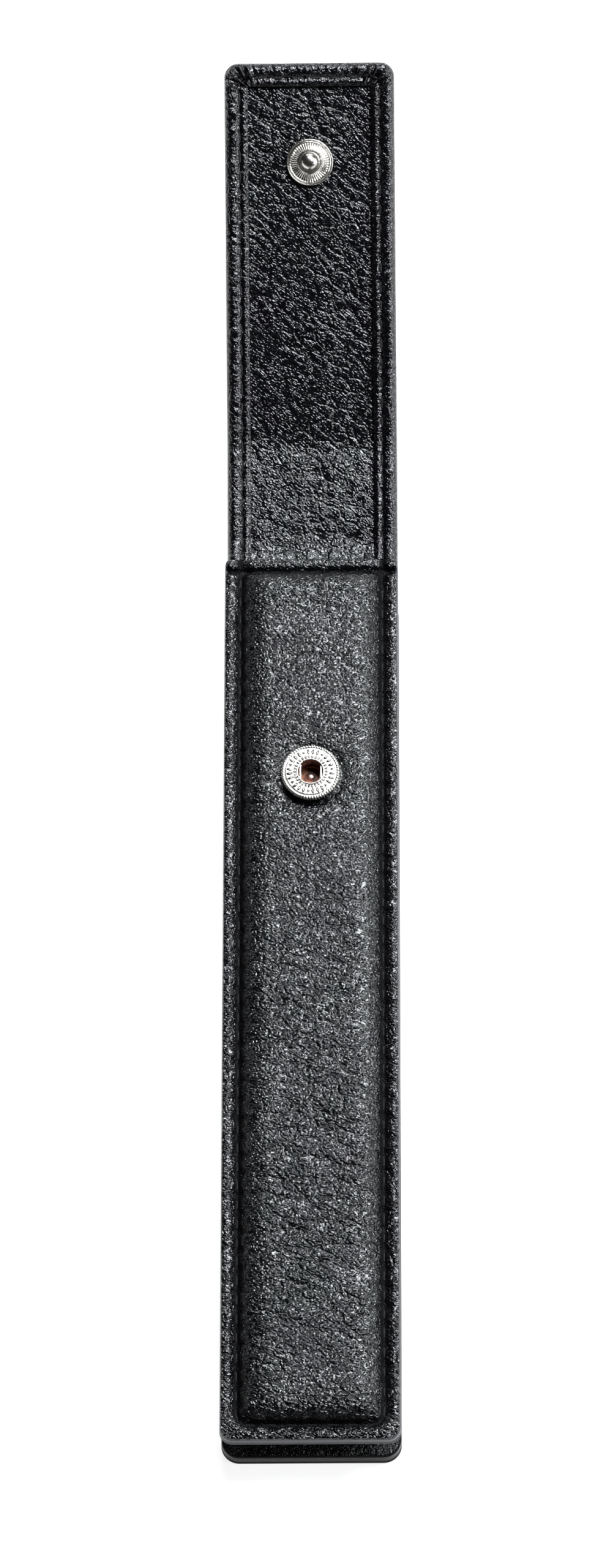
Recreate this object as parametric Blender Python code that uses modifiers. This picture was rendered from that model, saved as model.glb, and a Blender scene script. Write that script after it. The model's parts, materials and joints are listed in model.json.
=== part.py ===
"""A slim leather case for one pen, lying on its back with its flap half open.

The case is a long pocket: a padded front, a folded gusset round three sides and a stiffened
back. The back runs on past the mouth, folds up as a short spine and folds again as the flap.
A stud on the flap's inner face snaps into a spring socket on the front.

Metres, +Z up. The origin is the middle of the back's outer face, +Y runs towards the flap
and +Z out of the front. The flap is drawn half open: its pieces are parented to two pivots,
one on each fold, which turn about X.
"""

import math

import bmesh
import bpy
from mathutils import Vector

MM = 0.001

# Overall sizes
CASE_WIDTH = 30.0 * MM
POCKET_LENGTH = 161.8 * MM
CASE_DEPTH = 12.75 * MM  # back face to the face of the front rim
BACK_PAST_MOUTH = 7.7 * MM  # mouth to the first fold
FLAP_LENGTH = 67.5 * MM  # second fold to the free end
SNAP_BELOW_MOUTH = 42.3 * MM
SPINE_SLOPE = math.radians(14.7)  # of the half open spine, from the back
FLAP_SLOPE = math.radians(25.7)  # of the half open flap, from the back

# Sheet thicknesses
LEATHER = 0.9 * MM
BOARD = 0.4 * MM
LINING = 0.55 * MM
GUSSET = 0.7 * MM
HEM = 0.7 * MM  # leather pared thin where it is turned over
MOUTH_HEM = 0.6 * MM
MOUTH_WALL = 0.8 * MM

# Clearances
GLUE_GAP = 0.25 * MM  # between glued layers
EDGE_GAP = 0.3 * MM  # beside a layer, at a turned edge or a hole
FOLD_GAP = 0.15 * MM  # from a fold line to the outer leather
FOLD_CLEARANCE = 0.3 * MM  # from the mitre of a closed fold to the inner layers
SNAP_CLEARANCE = 0.3 * MM  # between the two halves of the closed snap
LIP_CLEARANCE = 0.2 * MM  # round the spring in its groove

# Edges, seams and corners
SEAM_INSET = 2.65 * MM
CHANNEL_WIDTH = 0.6 * MM  # floor of the stitch channel
CHANNEL_DEPTH = 0.55 * MM
CHANNEL_FLANK = 0.35 * MM
HEM_WIDTH = 4.2 * MM
MOUTH_HEM_WIDTH = 4.2 * MM
HEM_BELOW_MOUTH = 5.5 * MM  # how far the back's turned edges reach into the pocket
GUSSET_INSET = 3.4 * MM  # rim edge to the gusset's wall
FLAP_CORNER = 2.5 * MM
BACK_CORNER = 3.0 * MM
FRONT_CORNER = 2.1 * MM
MOUTH_CORNER = 1.5 * MM
INNER_CORNER = 2.2 * MM
EDGE_ROUND = 1.2 * MM
PAINTED_EDGE_ROUND = 0.3 * MM

# Padded front: how far in from the rim each stage of the crown starts, and its share
CROWN_RISE = 2.0 * MM
CROWN_STAGES = ((3.3 * MM, 0.08), (4.4 * MM, 0.45), (6.2 * MM, 0.78), (9.5 * MM, 1.0))

# Thread
THREAD_RADIUS = 0.18 * MM
THREAD_GROOVE_RADIUS = 0.46 * MM
THREAD_SINK = 0.2 * MM  # depth of the thread's axis under the back's outer face

# Snap fastener
SOCKET_RADIUS = 5.05 * MM
SOCKET_HEIGHT = 1.3 * MM
SOCKET_BORE = 2.15 * MM
SOCKET_BARREL = 2.6 * MM
SOCKET_DEPTH = 2.05 * MM  # barrel's reach below the leather's face
SOCKET_FLOOR = 0.35 * MM
SPRING_WIRE = 0.225 * MM
SPRING_LEG = 1.82 * MM  # leg's axis from the snap's axis
SPRING_HEIGHT = 0.62 * MM
SPRING_SWEEP = 2.85 * MM
SPRING_GROOVE = 3.5 * MM
RIVET_SHANK = 0.7 * MM
RIVET_HEAD = 1.15 * MM
RIVET_HEAD_HEIGHT = 0.45 * MM
RIVET_PLATE = 3.2 * MM
RIVET_PLATE_HEIGHT = 0.45 * MM
STUD_RADIUS = 4.125 * MM
STUD_HEIGHT = 1.1 * MM  # flange, without the knob
STUD_COLLAR = 2.05 * MM
STUD_NECK = 1.45 * MM
STUD_KNOB = 1.85 * MM
STUD_KNOB_HEIGHT = 2.2 * MM
STUD_SHANK = 0.75 * MM
CAP_RADIUS = 5.0 * MM
CAP_HEIGHT = 1.0 * MM

ARC_STEPS = 5
TURNED_STEPS = 32
WIRE_SIDES = 2  # bevel resolution of threads and wire

# Places that follow from the sizes
HALF_WIDTH = CASE_WIDTH / 2
MOUTH_Y = POCKET_LENGTH / 2
BOTTOM_Y = -POCKET_LENGTH / 2
SNAP_Y = MOUTH_Y - SNAP_BELOW_MOUTH
FOLD_Y = MOUTH_Y + BACK_PAST_MOUTH
BOARD_LOW = LEATHER + GLUE_GAP
LINING_LOW = BOARD_LOW + BOARD + GLUE_GAP
LAMINATE = LINING_LOW + LINING
FOLD_Z = LAMINATE / 2
HEM_LOW = LAMINATE + GLUE_GAP
HEM_TOP = HEM_LOW + HEM
FRONT_LEATHER_LOW = CASE_DEPTH - LEATHER
FRONT_LINING_LOW = FRONT_LEATHER_LOW - GLUE_GAP - LINING
GUSSET_TOP = FRONT_LINING_LOW - GLUE_GAP
CROWN_TOP = CASE_DEPTH + CROWN_RISE
SOCKET_SEAT = CROWN_TOP + GLUE_GAP
CLOSED_STACK = GLUE_GAP + SOCKET_HEIGHT + SNAP_CLEARANCE + STUD_HEIGHT + GLUE_GAP
SPINE_LENGTH = CROWN_TOP + CLOSED_STACK
SNAP_ON_FLAP = BACK_PAST_MOUTH + SNAP_BELOW_MOUTH

MITRE = math.radians(45.0)  # half of each fold's angle when the case is closed
PAST = 6.0 * MM  # how far a cutter runs past what it cuts
SLANT_REACH = 20.0 * MM  # size of a cutter for a slanted end
TINY = 0.01 * MM


def clear_scene():
    for obj in list(bpy.data.objects):
        bpy.data.objects.remove(obj, do_unlink=True)


def new_collection(name):
    made = bpy.data.collections.new(name)
    bpy.context.scene.collection.children.link(made)
    return made


def new_material(name, colour, roughness, metallic=0.0):
    made = bpy.data.materials.new(name)
    made.use_nodes = True
    shader = made.node_tree.nodes["Principled BSDF"]
    shader.inputs["Base Color"].default_value = (*colour, 1.0)
    shader.inputs["Roughness"].default_value = roughness
    shader.inputs["Metallic"].default_value = metallic
    return made


class Workshop:
    """Makes objects in the case's collection, or as cutters, under one pivot at a time."""

    def __init__(self):
        self.case = new_collection("pen_case")
        self.cutters = new_collection("cutters")
        self.pivot = None

    def add(self, name, data, material=None, place=(0.0, 0.0, 0.0)):
        obj = bpy.data.objects.new(name, data)
        obj.location = place
        obj.parent = self.pivot
        if material is None:
            self.cutters.objects.link(obj)
            obj.hide_render = True
            obj.display_type = "WIRE"
        else:
            self.case.objects.link(obj)
            data.materials.append(material)
        return obj

    def add_pivot(self, name, place, slope):
        empty = bpy.data.objects.new(name, None)
        empty.location = place
        empty.rotation_euler = (slope, 0.0, 0.0)
        empty.empty_display_size = 5 * MM
        empty.parent = self.pivot
        self.case.objects.link(empty)
        self.pivot = empty

    def flat_piece(self, name, outlines, low, high, material=None):
        """A sheet from low to high: the first outline is its edge, the others are holes."""
        curve = bpy.data.curves.new(name, "CURVE")
        curve.dimensions = "2D"
        curve.fill_mode = "BOTH"
        curve.extrude = (high - low) / 2
        for outline in outlines:
            spline = curve.splines.new("POLY")
            spline.points.add(len(outline) - 1)
            spline.use_cyclic_u = True
            for point, (x, y) in zip(spline.points, outline):
                point.co = (x, y, 0.0, 1.0)
        mesh = mesh_of_curve(name, curve)
        return self.add(name, mesh, material, (0.0, 0.0, (low + high) / 2))

    def box(self, name, low, high, place=(0.0, 0.0, 0.0)):
        """A cutter or filler from one corner to the other, both counted from its place."""
        size = Vector(high) - Vector(low)
        bm = bmesh.new()
        bmesh.ops.create_cube(bm, size=1.0)
        bmesh.ops.scale(bm, vec=size, verts=bm.verts)
        bmesh.ops.translate(bm, vec=(Vector(high) + Vector(low)) / 2, verts=bm.verts)
        return self.add(name, mesh_from(bm, name), None, place)

    def slanted_end(self, name, end_y, end_z, lean, facing):
        """A cutter past a plane through (end_y, end_z) that leans back by an angle."""
        reach = HALF_WIDTH + PAST
        near, far = sorted((0.0, facing * SLANT_REACH))
        low = (-reach, near, -SLANT_REACH)
        high = (reach, far, SLANT_REACH)
        cutter = self.box(name, low, high, (0.0, end_y, end_z))
        cutter.rotation_euler = (facing * lean, 0.0, 0.0)
        return cutter

    def loft(self, name, sections, material=None):
        """A closed solid through sections of equal point counts, capped at both ends."""
        bm = bmesh.new()
        rings = [[bm.verts.new(point) for point in section] for section in sections]
        for lower, upper in zip(rings, rings[1:]):
            for i in range(len(lower)):
                j = (i + 1) % len(lower)
                bm.faces.new((lower[i], lower[j], upper[j], upper[i]))
        bm.faces.new(list(reversed(rings[0])))
        bm.faces.new(rings[-1])
        bmesh.ops.recalc_face_normals(bm, faces=bm.faces)
        return self.add(name, mesh_from(bm, name), material)

    def tube(self, name, points, radius, material=None):
        """A round wire or thread along straight runs between the points."""
        curve = bpy.data.curves.new(name, "CURVE")
        curve.dimensions = "3D"
        curve.bevel_depth = radius
        curve.bevel_resolution = WIRE_SIDES
        curve.use_fill_caps = True
        spline = curve.splines.new("POLY")
        spline.points.add(len(points) - 1)
        for point, place in zip(spline.points, points):
            point.co = (*place, 1.0)
        return self.add(name, mesh_of_curve(name, curve), material)

    def turned(self, name, profile, place, material, closed):
        """A piece of revolution. A closed profile is a ring, an open one meets the axis."""
        bm = bmesh.new()
        verts = [bm.verts.new((radius, 0.0, height)) for radius, height in profile]
        ends = verts[1:] + verts[:1] if closed else verts[1:]
        for start, end in zip(verts, ends):
            bm.edges.new((start, end))
        obj = self.add(name, mesh_from(bm, name), material, place)
        screw = obj.modifiers.new("Turn", "SCREW")
        screw.steps = TURNED_STEPS
        screw.render_steps = TURNED_STEPS
        screw.use_merge_vertices = True
        screw.merge_threshold = 0.01 * MM
        return obj


def mesh_from(bm, name):
    mesh = bpy.data.meshes.new(name)
    bm.to_mesh(mesh)
    bm.free()
    return mesh


def mesh_of_curve(name, curve):
    """The mesh of a curve, with its loose caps welded on."""
    holder = bpy.data.objects.new(name, curve)
    bpy.context.scene.collection.objects.link(holder)
    graph = bpy.context.evaluated_depsgraph_get()
    mesh = bpy.data.meshes.new_from_object(holder.evaluated_get(graph))
    bpy.data.objects.remove(holder)
    bm = bmesh.new()
    bm.from_mesh(mesh)
    bmesh.ops.remove_doubles(bm, verts=bm.verts, dist=0.001 * MM)
    bmesh.ops.recalc_face_normals(bm, faces=bm.faces)
    bm.to_mesh(mesh)
    bm.free()
    mesh.name = name
    return mesh


def combine(piece, other, operation="DIFFERENCE"):
    boolean = piece.modifiers.new(other.name, "BOOLEAN")
    boolean.operation = operation
    boolean.solver = "EXACT"
    boolean.object = other


def smooth(piece, angle=35.0):
    piece.data.shade_smooth()
    piece.data.set_sharp_from_angle(angle=math.radians(angle))


def arc(centre, radius, start, end, steps=ARC_STEPS):
    """Points on an arc, from start to end in degrees."""
    angles = [math.radians(start + (end - start) * i / steps) for i in range(steps + 1)]
    return [(centre[0] + radius * math.cos(a), centre[1] + radius * math.sin(a)) for a in angles]


def circle(centre, radius, steps=TURNED_STEPS):
    return arc(centre, radius, 0.0, 360.0, steps)[:-1]


def strip(half_width, low, high, low_radius=0.0, high_radius=0.0):
    """A rectangle about the Y axis, with its low and high corners rounded."""
    corners = (
        (half_width, high, high_radius, -1, -1, 0.0),
        (-half_width, high, high_radius, 1, -1, 90.0),
        (-half_width, low, low_radius, 1, 1, 180.0),
        (half_width, low, low_radius, -1, 1, 270.0),
    )
    outline = []
    for x, y, radius, inward_x, inward_y, start in corners:
        if radius > 0.0:
            centre = (x + inward_x * radius, y + inward_y * radius)
            outline += arc(centre, radius, start, start + 90.0)
        else:
            outline.append((x, y))
    return outline


def pocket_outline(inset, low_radius, high_radius=0.0, past_mouth=0.0):
    """The pocket's plan, drawn in by an inset on its sides and bottom."""
    high = MOUTH_Y + past_mouth
    return strip(HALF_WIDTH - inset, BOTTOM_Y + inset, high, low_radius, high_radius)


def front_section(inset, height):
    """One level of the padded front, inset on all four sides."""
    low_radius = max(FRONT_CORNER - inset, INNER_CORNER * min(1.0, inset / SEAM_INSET))
    high_radius = max(MOUTH_CORNER - inset, INNER_CORNER * min(1.0, inset / SEAM_INSET))
    plan = strip(HALF_WIDTH - inset, BOTTOM_Y + inset, MOUTH_Y - inset, low_radius, high_radius)
    return [(x, y, height) for x, y in plan]


def mitre(top):
    """How far a layer stops short of its fold line, by its top's height over the back's face."""
    return FOLD_CLEARANCE + max(top - FOLD_Z, 0.0) * math.tan(MITRE)


def seam_path(open_y, half_width, turn_y, radius, height):
    """A U of thread: it starts and ends at open_y, and crosses over at turn_y."""
    way = 1.0 if turn_y > open_y else -1.0
    corner = arc((half_width - radius, turn_y - way * radius), radius, 0.0, way * 90.0)
    right = [(half_width, open_y)] + corner
    left = [(-x, y) for x, y in reversed(right)]
    return [(x, y, height) for x, y in right + left]


def make_front(shop, finish):
    """The padded front: leather with its mouth edge turned in, padding and lining."""
    channel = SEAM_INSET - CHANNEL_WIDTH / 2
    under = FRONT_LEATHER_LOW
    crown = [(inset, CASE_DEPTH + CROWN_RISE * share) for inset, share in CROWN_STAGES]
    outside = [
        (0.0, CASE_DEPTH - PAINTED_EDGE_ROUND),
        (PAINTED_EDGE_ROUND, CASE_DEPTH),
        (channel - CHANNEL_FLANK, CASE_DEPTH),
        (channel, CASE_DEPTH - CHANNEL_DEPTH),
        (channel + CHANNEL_WIDTH, CASE_DEPTH - CHANNEL_DEPTH),
    ] + crown
    inside = [(inset, height - LEATHER) for inset, height in crown[1:]]
    stages = list(reversed(inside)) + [(crown[0][0], under), (0.0, under)] + outside
    leather = shop.loft("front_leather", [front_section(*s) for s in stages], finish["leather"])

    half = HALF_WIDTH - GUSSET_INSET - GUSSET - EDGE_GAP
    hem_low = GUSSET_TOP - MOUTH_HEM
    wall_low = (-half, MOUTH_Y - MOUTH_WALL - PAINTED_EDGE_ROUND, hem_low)
    wall_high = (half, MOUTH_Y - PAINTED_EDGE_ROUND, CASE_DEPTH - LEATHER / 2)
    wall = shop.box("mouth_wall", wall_low, wall_high)
    strip_low = (-half, MOUTH_Y - MOUTH_HEM_WIDTH, hem_low)
    strip_high = (half, MOUTH_Y - PAINTED_EDGE_ROUND, GUSSET_TOP)
    combine(wall, shop.box("mouth_strip", strip_low, strip_high), "UNION")
    combine(leather, wall, "UNION")

    hole = circle((0.0, SNAP_Y), SOCKET_BARREL + EDGE_GAP)
    bore = shop.flat_piece("socket_hole", [hole], CASE_DEPTH - LEATHER, CROWN_TOP + PAST)
    combine(leather, bore)

    padding_low = FRONT_LEATHER_LOW
    side = crown[0][0] + EDGE_GAP + GLUE_GAP
    padded = [(side, padding_low), (side, padding_low + GLUE_GAP)]
    padded += [(inset, height - LEATHER - GLUE_GAP) for inset, height in crown[1:]]
    padding = shop.loft("front_padding", [front_section(*s) for s in padded], finish["padding"])
    well = circle((0.0, SNAP_Y), RIVET_PLATE + EDGE_GAP)
    combine(padding, shop.flat_piece("rivet_well", [well], padding_low - PAST, CROWN_TOP + PAST))

    lining_end = MOUTH_WALL + PAINTED_EDGE_ROUND + EDGE_GAP
    plan = pocket_outline(0.0, FRONT_CORNER, past_mouth=-lining_end)
    top = FRONT_LINING_LOW + LINING
    shop.flat_piece("front_lining", [plan], FRONT_LINING_LOW, top, finish["lining"])


def make_gusset(shop, finish):
    """A strip folded into a channel, open outwards, round the sides and bottom."""
    plan = pocket_outline(0.0, BACK_CORNER, past_mouth=-EDGE_GAP)
    gusset = shop.flat_piece("gusset", [plan], HEM_LOW, GUSSET_TOP, finish["gusset"])
    wall = pocket_outline(GUSSET_INSET, INNER_CORNER, past_mouth=PAST)
    around = pocket_outline(-PAST, BACK_CORNER, past_mouth=2 * PAST)
    recess_low = HEM_LOW + GUSSET
    recess_high = GUSSET_TOP - GUSSET
    combine(gusset, shop.flat_piece("recess", [around, wall], recess_low, recess_high))
    inner = pocket_outline(GUSSET_INSET + GUSSET, INNER_CORNER - GUSSET, past_mouth=PAST)
    combine(gusset, shop.flat_piece("pocket_space", [inner], -PAST, CASE_DEPTH + PAST))
    # The mouth end slants back, from the front flange to where the back's hem starts.
    lean = math.atan2(HEM_BELOW_MOUTH, GUSSET_TOP - HEM_TOP)
    combine(gusset, shop.slanted_end("mouth_slant", MOUTH_Y - EDGE_GAP, GUSSET_TOP, -lean, 1))


def turned_edges(shop, name, plan, square_ends, slot, window, base, material=None):
    """Leather with its edges turned over onto the inner face, from base upwards."""
    panel = shop.flat_piece(name, [plan], base, base + HEM_TOP, material)
    round_edges(panel, square_ends)
    slot_low = base + LEATHER
    combine(panel, shop.flat_piece(name + "_slot", [slot], slot_low, base + HEM_LOW))
    combine(panel, shop.flat_piece(name + "_window", [window], slot_low, base + PAST))
    return panel


def round_edges(panel, square_ends):
    """Rounds the rim of a sheet, except along the ends that stay square."""
    bm = bmesh.new()
    bm.from_mesh(panel.data)
    rim = []
    for edge in bm.edges:
        first, second = (vert.co for vert in edge.verts)
        level = abs(first.z - second.z) < TINY
        corner = edge.calc_face_angle(0.0) > math.radians(60.0)
        square = any(max(abs(first.y - end), abs(second.y - end)) < TINY for end in square_ends)
        if level and corner and not square:
            rim.append(edge)
    bmesh.ops.bevel(bm, geom=rim, offset=EDGE_ROUND, segments=3, profile=0.5, affect="EDGES")
    bm.to_mesh(panel.data)
    bm.free()


def cut_mitre(shop, panel, fold_y, facing, base):
    """Cuts the inner layers back at a fold, so that they clear each other when it closes."""
    name = f"{panel.name}_mitre_{'high' if facing > 0 else 'low'}"
    end_y = fold_y - facing * FOLD_CLEARANCE
    combine(panel, shop.slanted_end(name, end_y, base + FOLD_Z, MITRE, facing))


def make_back(shop, finish):
    """The back: leather with cut edges on the pocket and turned ones past the mouth."""
    end = FOLD_Y - FOLD_GAP
    hem_start = MOUTH_Y - HEM_BELOW_MOUTH
    plan = strip(HALF_WIDTH, hem_start, end)
    slot = strip(HALF_WIDTH - LEATHER, hem_start - PAST, end + PAST)
    window = strip(HALF_WIDTH - HEM_WIDTH, hem_start - PAST, end + PAST)
    hemmed = turned_edges(shop, "back_hem", plan, (hem_start, end), slot, window, 0.0)
    cut_mitre(shop, hemmed, FOLD_Y, 1, 0.0)
    back_plan = strip(HALF_WIDTH, BOTTOM_Y, hem_start + EDGE_ROUND, BACK_CORNER)
    leather = shop.flat_piece("back_leather", [back_plan], 0.0, LEATHER, finish["leather"])
    combine(leather, hemmed, "UNION")

    seam = (HALF_WIDTH - SEAM_INSET, BOTTOM_Y + SEAM_INSET, INNER_CORNER, THREAD_SINK)
    groove = shop.tube("back_groove", seam_path(end + PAST, *seam), THREAD_GROOVE_RADIUS)
    combine(leather, groove)
    thread = seam_path(end - EDGE_GAP, *seam)
    shop.tube("back_seam_thread", thread, THREAD_RADIUS, finish["thread"])

    inner = HALF_WIDTH - LEATHER - EDGE_GAP
    layers = (
        ("back_board", BOARD_LOW, BOARD, "board"),
        ("back_lining", LINING_LOW, LINING, "lining"),
    )
    for name, low, thickness, kind in layers:
        top = low + thickness
        plan = strip(inner, BOTTOM_Y + EDGE_GAP, FOLD_Y - mitre(top), BACK_CORNER - EDGE_GAP)
        shop.flat_piece(name, [plan], low, top, finish[kind])

    high = FOLD_Y - mitre(HEM_TOP) - EDGE_GAP
    make_hem_threads(shop, finish, "back_hem_thread", leather, hem_start + EDGE_GAP, high, HEM_TOP)


def make_hem_threads(shop, finish, name, panel, low, high, height):
    """A straight thread along each turned edge, half sunk in its own groove."""
    for side, label in ((-1, "left"), (1, "right")):
        x = side * (HALF_WIDTH - SEAM_INSET)
        groove = shop.tube(
            f"{name}_{label}_groove",
            [(x, low - PAST, height), (x, high + PAST, height)],
            THREAD_GROOVE_RADIUS,
        )
        combine(panel, groove)
        ends = [(x, low, height), (x, high, height)]
        shop.tube(f"{name}_{label}", ends, THREAD_RADIUS, finish["thread"])


def make_spine(shop, finish):
    """The short stretch between the two folds: hemmed leather and lining, with no board."""
    base = -FOLD_Z
    ends = (FOLD_GAP, SPINE_LENGTH - FOLD_GAP)
    plan = strip(HALF_WIDTH, *ends)
    slot = strip(HALF_WIDTH - LEATHER, -PAST, SPINE_LENGTH + PAST)
    window = strip(HALF_WIDTH - HEM_WIDTH, -PAST, SPINE_LENGTH + PAST)
    leather = turned_edges(
        shop, "spine_leather", plan, ends, slot, window, base, finish["leather"]
    )
    cut_mitre(shop, leather, 0.0, -1, base)
    cut_mitre(shop, leather, SPINE_LENGTH, 1, base)
    setback = mitre(LAMINATE)
    lining_plan = strip(HALF_WIDTH - LEATHER - EDGE_GAP, setback, SPINE_LENGTH - setback)
    low = base + LINING_LOW
    shop.flat_piece("spine_lining", [lining_plan], low, low + LINING, finish["lining"])
    start = mitre(HEM_TOP) + EDGE_GAP
    end = SPINE_LENGTH - start
    make_hem_threads(shop, finish, "spine_thread", leather, start, end, base + HEM_TOP)


def make_flap(shop, finish):
    """The flap: leather turned over on three sides, board, lining and one seam."""
    base = -FOLD_Z
    plan = strip(HALF_WIDTH, FOLD_GAP, FLAP_LENGTH, 0.0, FLAP_CORNER)
    slot_end = FLAP_LENGTH - LEATHER
    slot = strip(HALF_WIDTH - LEATHER, -PAST, slot_end, 0.0, FLAP_CORNER - LEATHER)
    window_end = FLAP_LENGTH - HEM_WIDTH
    window = strip(HALF_WIDTH - HEM_WIDTH, -PAST, window_end, 0.0, MOUTH_CORNER)
    leather = turned_edges(
        shop, "flap_leather", plan, (FOLD_GAP,), slot, window, base, finish["leather"]
    )
    cut_mitre(shop, leather, 0.0, -1, base)
    hole = circle((0.0, SNAP_ON_FLAP), STUD_SHANK + EDGE_GAP)
    combine(leather, shop.flat_piece("flap_hole", [hole], base - PAST, base + PAST))

    inset = LEATHER + EDGE_GAP
    layers = (
        ("flap_board", BOARD_LOW, BOARD, "board"),
        ("flap_lining", LINING_LOW, LINING, "lining"),
    )
    for name, low, thickness, kind in layers:
        top = low + thickness
        end = FLAP_LENGTH - inset
        layer_plan = strip(HALF_WIDTH - inset, mitre(top), end, 0.0, FLAP_CORNER - inset)
        shop.flat_piece(name, [layer_plan, hole], base + low, base + top, finish[kind])

    start = mitre(HEM_TOP) + EDGE_GAP
    seam = (HALF_WIDTH - SEAM_INSET, FLAP_LENGTH - SEAM_INSET, MOUTH_CORNER, base + HEM_TOP)
    combine(leather, shop.tube("flap_groove", seam_path(start - PAST, *seam), THREAD_GROOVE_RADIUS))
    shop.tube("flap_seam_thread", seam_path(start, *seam), THREAD_RADIUS, finish["thread"])


def make_pocket_seams(shop, finish):
    """The thread round the front and the one along the mouth, both in the stitch channel."""
    height = CASE_DEPTH - CHANNEL_DEPTH + GLUE_GAP + THREAD_RADIUS
    seam_x = HALF_WIDTH - SEAM_INSET
    mouth_seam_y = MOUTH_Y - SEAM_INSET
    start = mouth_seam_y - 2 * THREAD_RADIUS - EDGE_GAP
    path = seam_path(start, seam_x, BOTTOM_Y + SEAM_INSET, INNER_CORNER, height)
    shop.tube("front_seam_thread", path, THREAD_RADIUS, finish["thread"])
    half = seam_x - INNER_CORNER
    ends = [(-half, mouth_seam_y, height), (half, mouth_seam_y, height)]
    shop.tube("mouth_seam_thread", ends, THREAD_RADIUS, finish["thread"])


def make_socket(shop, finish):
    """The spring socket on the front: a ring with a barrel, its spring and its rivet."""
    lip = 0.12 * MM
    face = SOCKET_HEIGHT - lip
    bead = 0.35 * MM
    groove_low = SPRING_HEIGHT - SPRING_WIRE - LIP_CLEARANCE
    groove_high = SPRING_HEIGHT + SPRING_WIRE + LIP_CLEARANCE
    floor = -SOCKET_DEPTH + SOCKET_FLOOR
    floor_hole = RIVET_SHANK + EDGE_GAP
    profile = [
        (SOCKET_BORE, face),
        (SOCKET_BORE + lip, SOCKET_HEIGHT),
        (SOCKET_BORE + 3 * lip, SOCKET_HEIGHT),
        (SOCKET_BORE + 4 * lip, face),
        (SOCKET_RADIUS - 1.7 * bead, face),
        (SOCKET_RADIUS - 1.5 * bead, face - lip),
        (SOCKET_RADIUS - bead, face),
        (SOCKET_RADIUS - 0.3 * bead, face - 0.3 * bead),
        (SOCKET_RADIUS, face - bead),
        (SOCKET_RADIUS, bead),
        (SOCKET_RADIUS - bead, 0.0),
        (SOCKET_BARREL, 0.0),
        (SOCKET_BARREL, -SOCKET_DEPTH),
        (floor_hole, -SOCKET_DEPTH),
        (floor_hole, floor),
        (SOCKET_BORE, floor),
        (SOCKET_BORE, groove_low),
        (SPRING_GROOVE, groove_low),
        (SPRING_GROOVE, groove_high),
        (SOCKET_BORE, groove_high),
    ]
    seat = (0.0, SNAP_Y, SOCKET_SEAT)
    smooth(shop.turned("snap_socket", profile, seat, finish["nickel"], closed=True))

    leg = 1.6 * MM
    sweep = arc((0.0, 0.0), SPRING_SWEEP, 125.0, 55.0, 6)
    plan = [(-SPRING_LEG, -leg), (-SPRING_LEG, leg)] + sweep + [(SPRING_LEG, leg), (SPRING_LEG, -leg)]
    place = SOCKET_SEAT + SPRING_HEIGHT
    wire = [(x, y + SNAP_Y, place) for x, y in plan]
    smooth(shop.tube("snap_socket_spring", wire, SPRING_WIRE, finish["spring"]))

    plate = FRONT_LEATHER_LOW - SOCKET_SEAT + GLUE_GAP / 2
    head = floor + GLUE_GAP
    rivet = [
        (0.0, head + RIVET_HEAD_HEIGHT),
        (0.6 * RIVET_HEAD, head + 0.8 * RIVET_HEAD_HEIGHT),
        (RIVET_HEAD, head + 0.2 * RIVET_HEAD_HEIGHT),
        (RIVET_HEAD, head),
        (RIVET_SHANK, head),
        (RIVET_SHANK, plate + RIVET_PLATE_HEIGHT),
        (RIVET_PLATE, plate + RIVET_PLATE_HEIGHT),
        (RIVET_PLATE, plate),
        (0.0, plate),
    ]
    smooth(shop.turned("snap_socket_rivet", rivet, seat, finish["brass"], closed=False))


def make_stud(shop, finish):
    """The stud on the flap's inner face, and the cap whose shank holds it from outside."""
    top = STUD_HEIGHT
    knob = STUD_KNOB_HEIGHT
    hole = STUD_SHANK + EDGE_GAP
    hole_top = top + knob - 2 * EDGE_GAP
    profile = [
        (0.0, top + knob),
        (0.45 * STUD_KNOB, top + 0.97 * knob),
        (0.8 * STUD_KNOB, top + 0.86 * knob),
        (STUD_KNOB, top + 0.72 * knob),
        (STUD_KNOB, top + 0.66 * knob),
        (STUD_NECK, top + 0.5 * knob),
        (STUD_NECK, top),
        (STUD_COLLAR, top),
        (STUD_COLLAR + 0.15 * MM, 0.8 * top),
        (STUD_RADIUS - 0.75 * MM, 0.55 * top),
        (STUD_RADIUS - 0.6 * MM, 0.95 * top),
        (STUD_RADIUS - 0.15 * MM, 0.95 * top),
        (STUD_RADIUS, 0.7 * top),
        (STUD_RADIUS, 0.2 * top),
        (STUD_RADIUS - 0.2 * MM, 0.0),
        (hole, 0.0),
        (hole, hole_top),
        (0.0, hole_top),
    ]
    seat = LAMINATE - FOLD_Z + GLUE_GAP
    place = (0.0, SNAP_ON_FLAP, seat)
    smooth(shop.turned("snap_stud", profile, place, finish["nickel"], closed=False))

    outer = -FOLD_Z - GLUE_GAP
    shank_top = seat + hole_top - EDGE_GAP
    cap = [
        (0.0, shank_top - outer),
        (STUD_SHANK, shank_top - outer),
        (STUD_SHANK, 0.0),
        (CAP_RADIUS - 0.25 * MM, 0.0),
        (CAP_RADIUS, -0.25 * CAP_HEIGHT),
        (0.92 * CAP_RADIUS, -0.6 * CAP_HEIGHT),
        (0.65 * CAP_RADIUS, -0.88 * CAP_HEIGHT),
        (0.0, -CAP_HEIGHT),
    ]
    smooth(shop.turned("snap_cap", cap, (0.0, SNAP_ON_FLAP, outer), finish["nickel"], closed=False))


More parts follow.
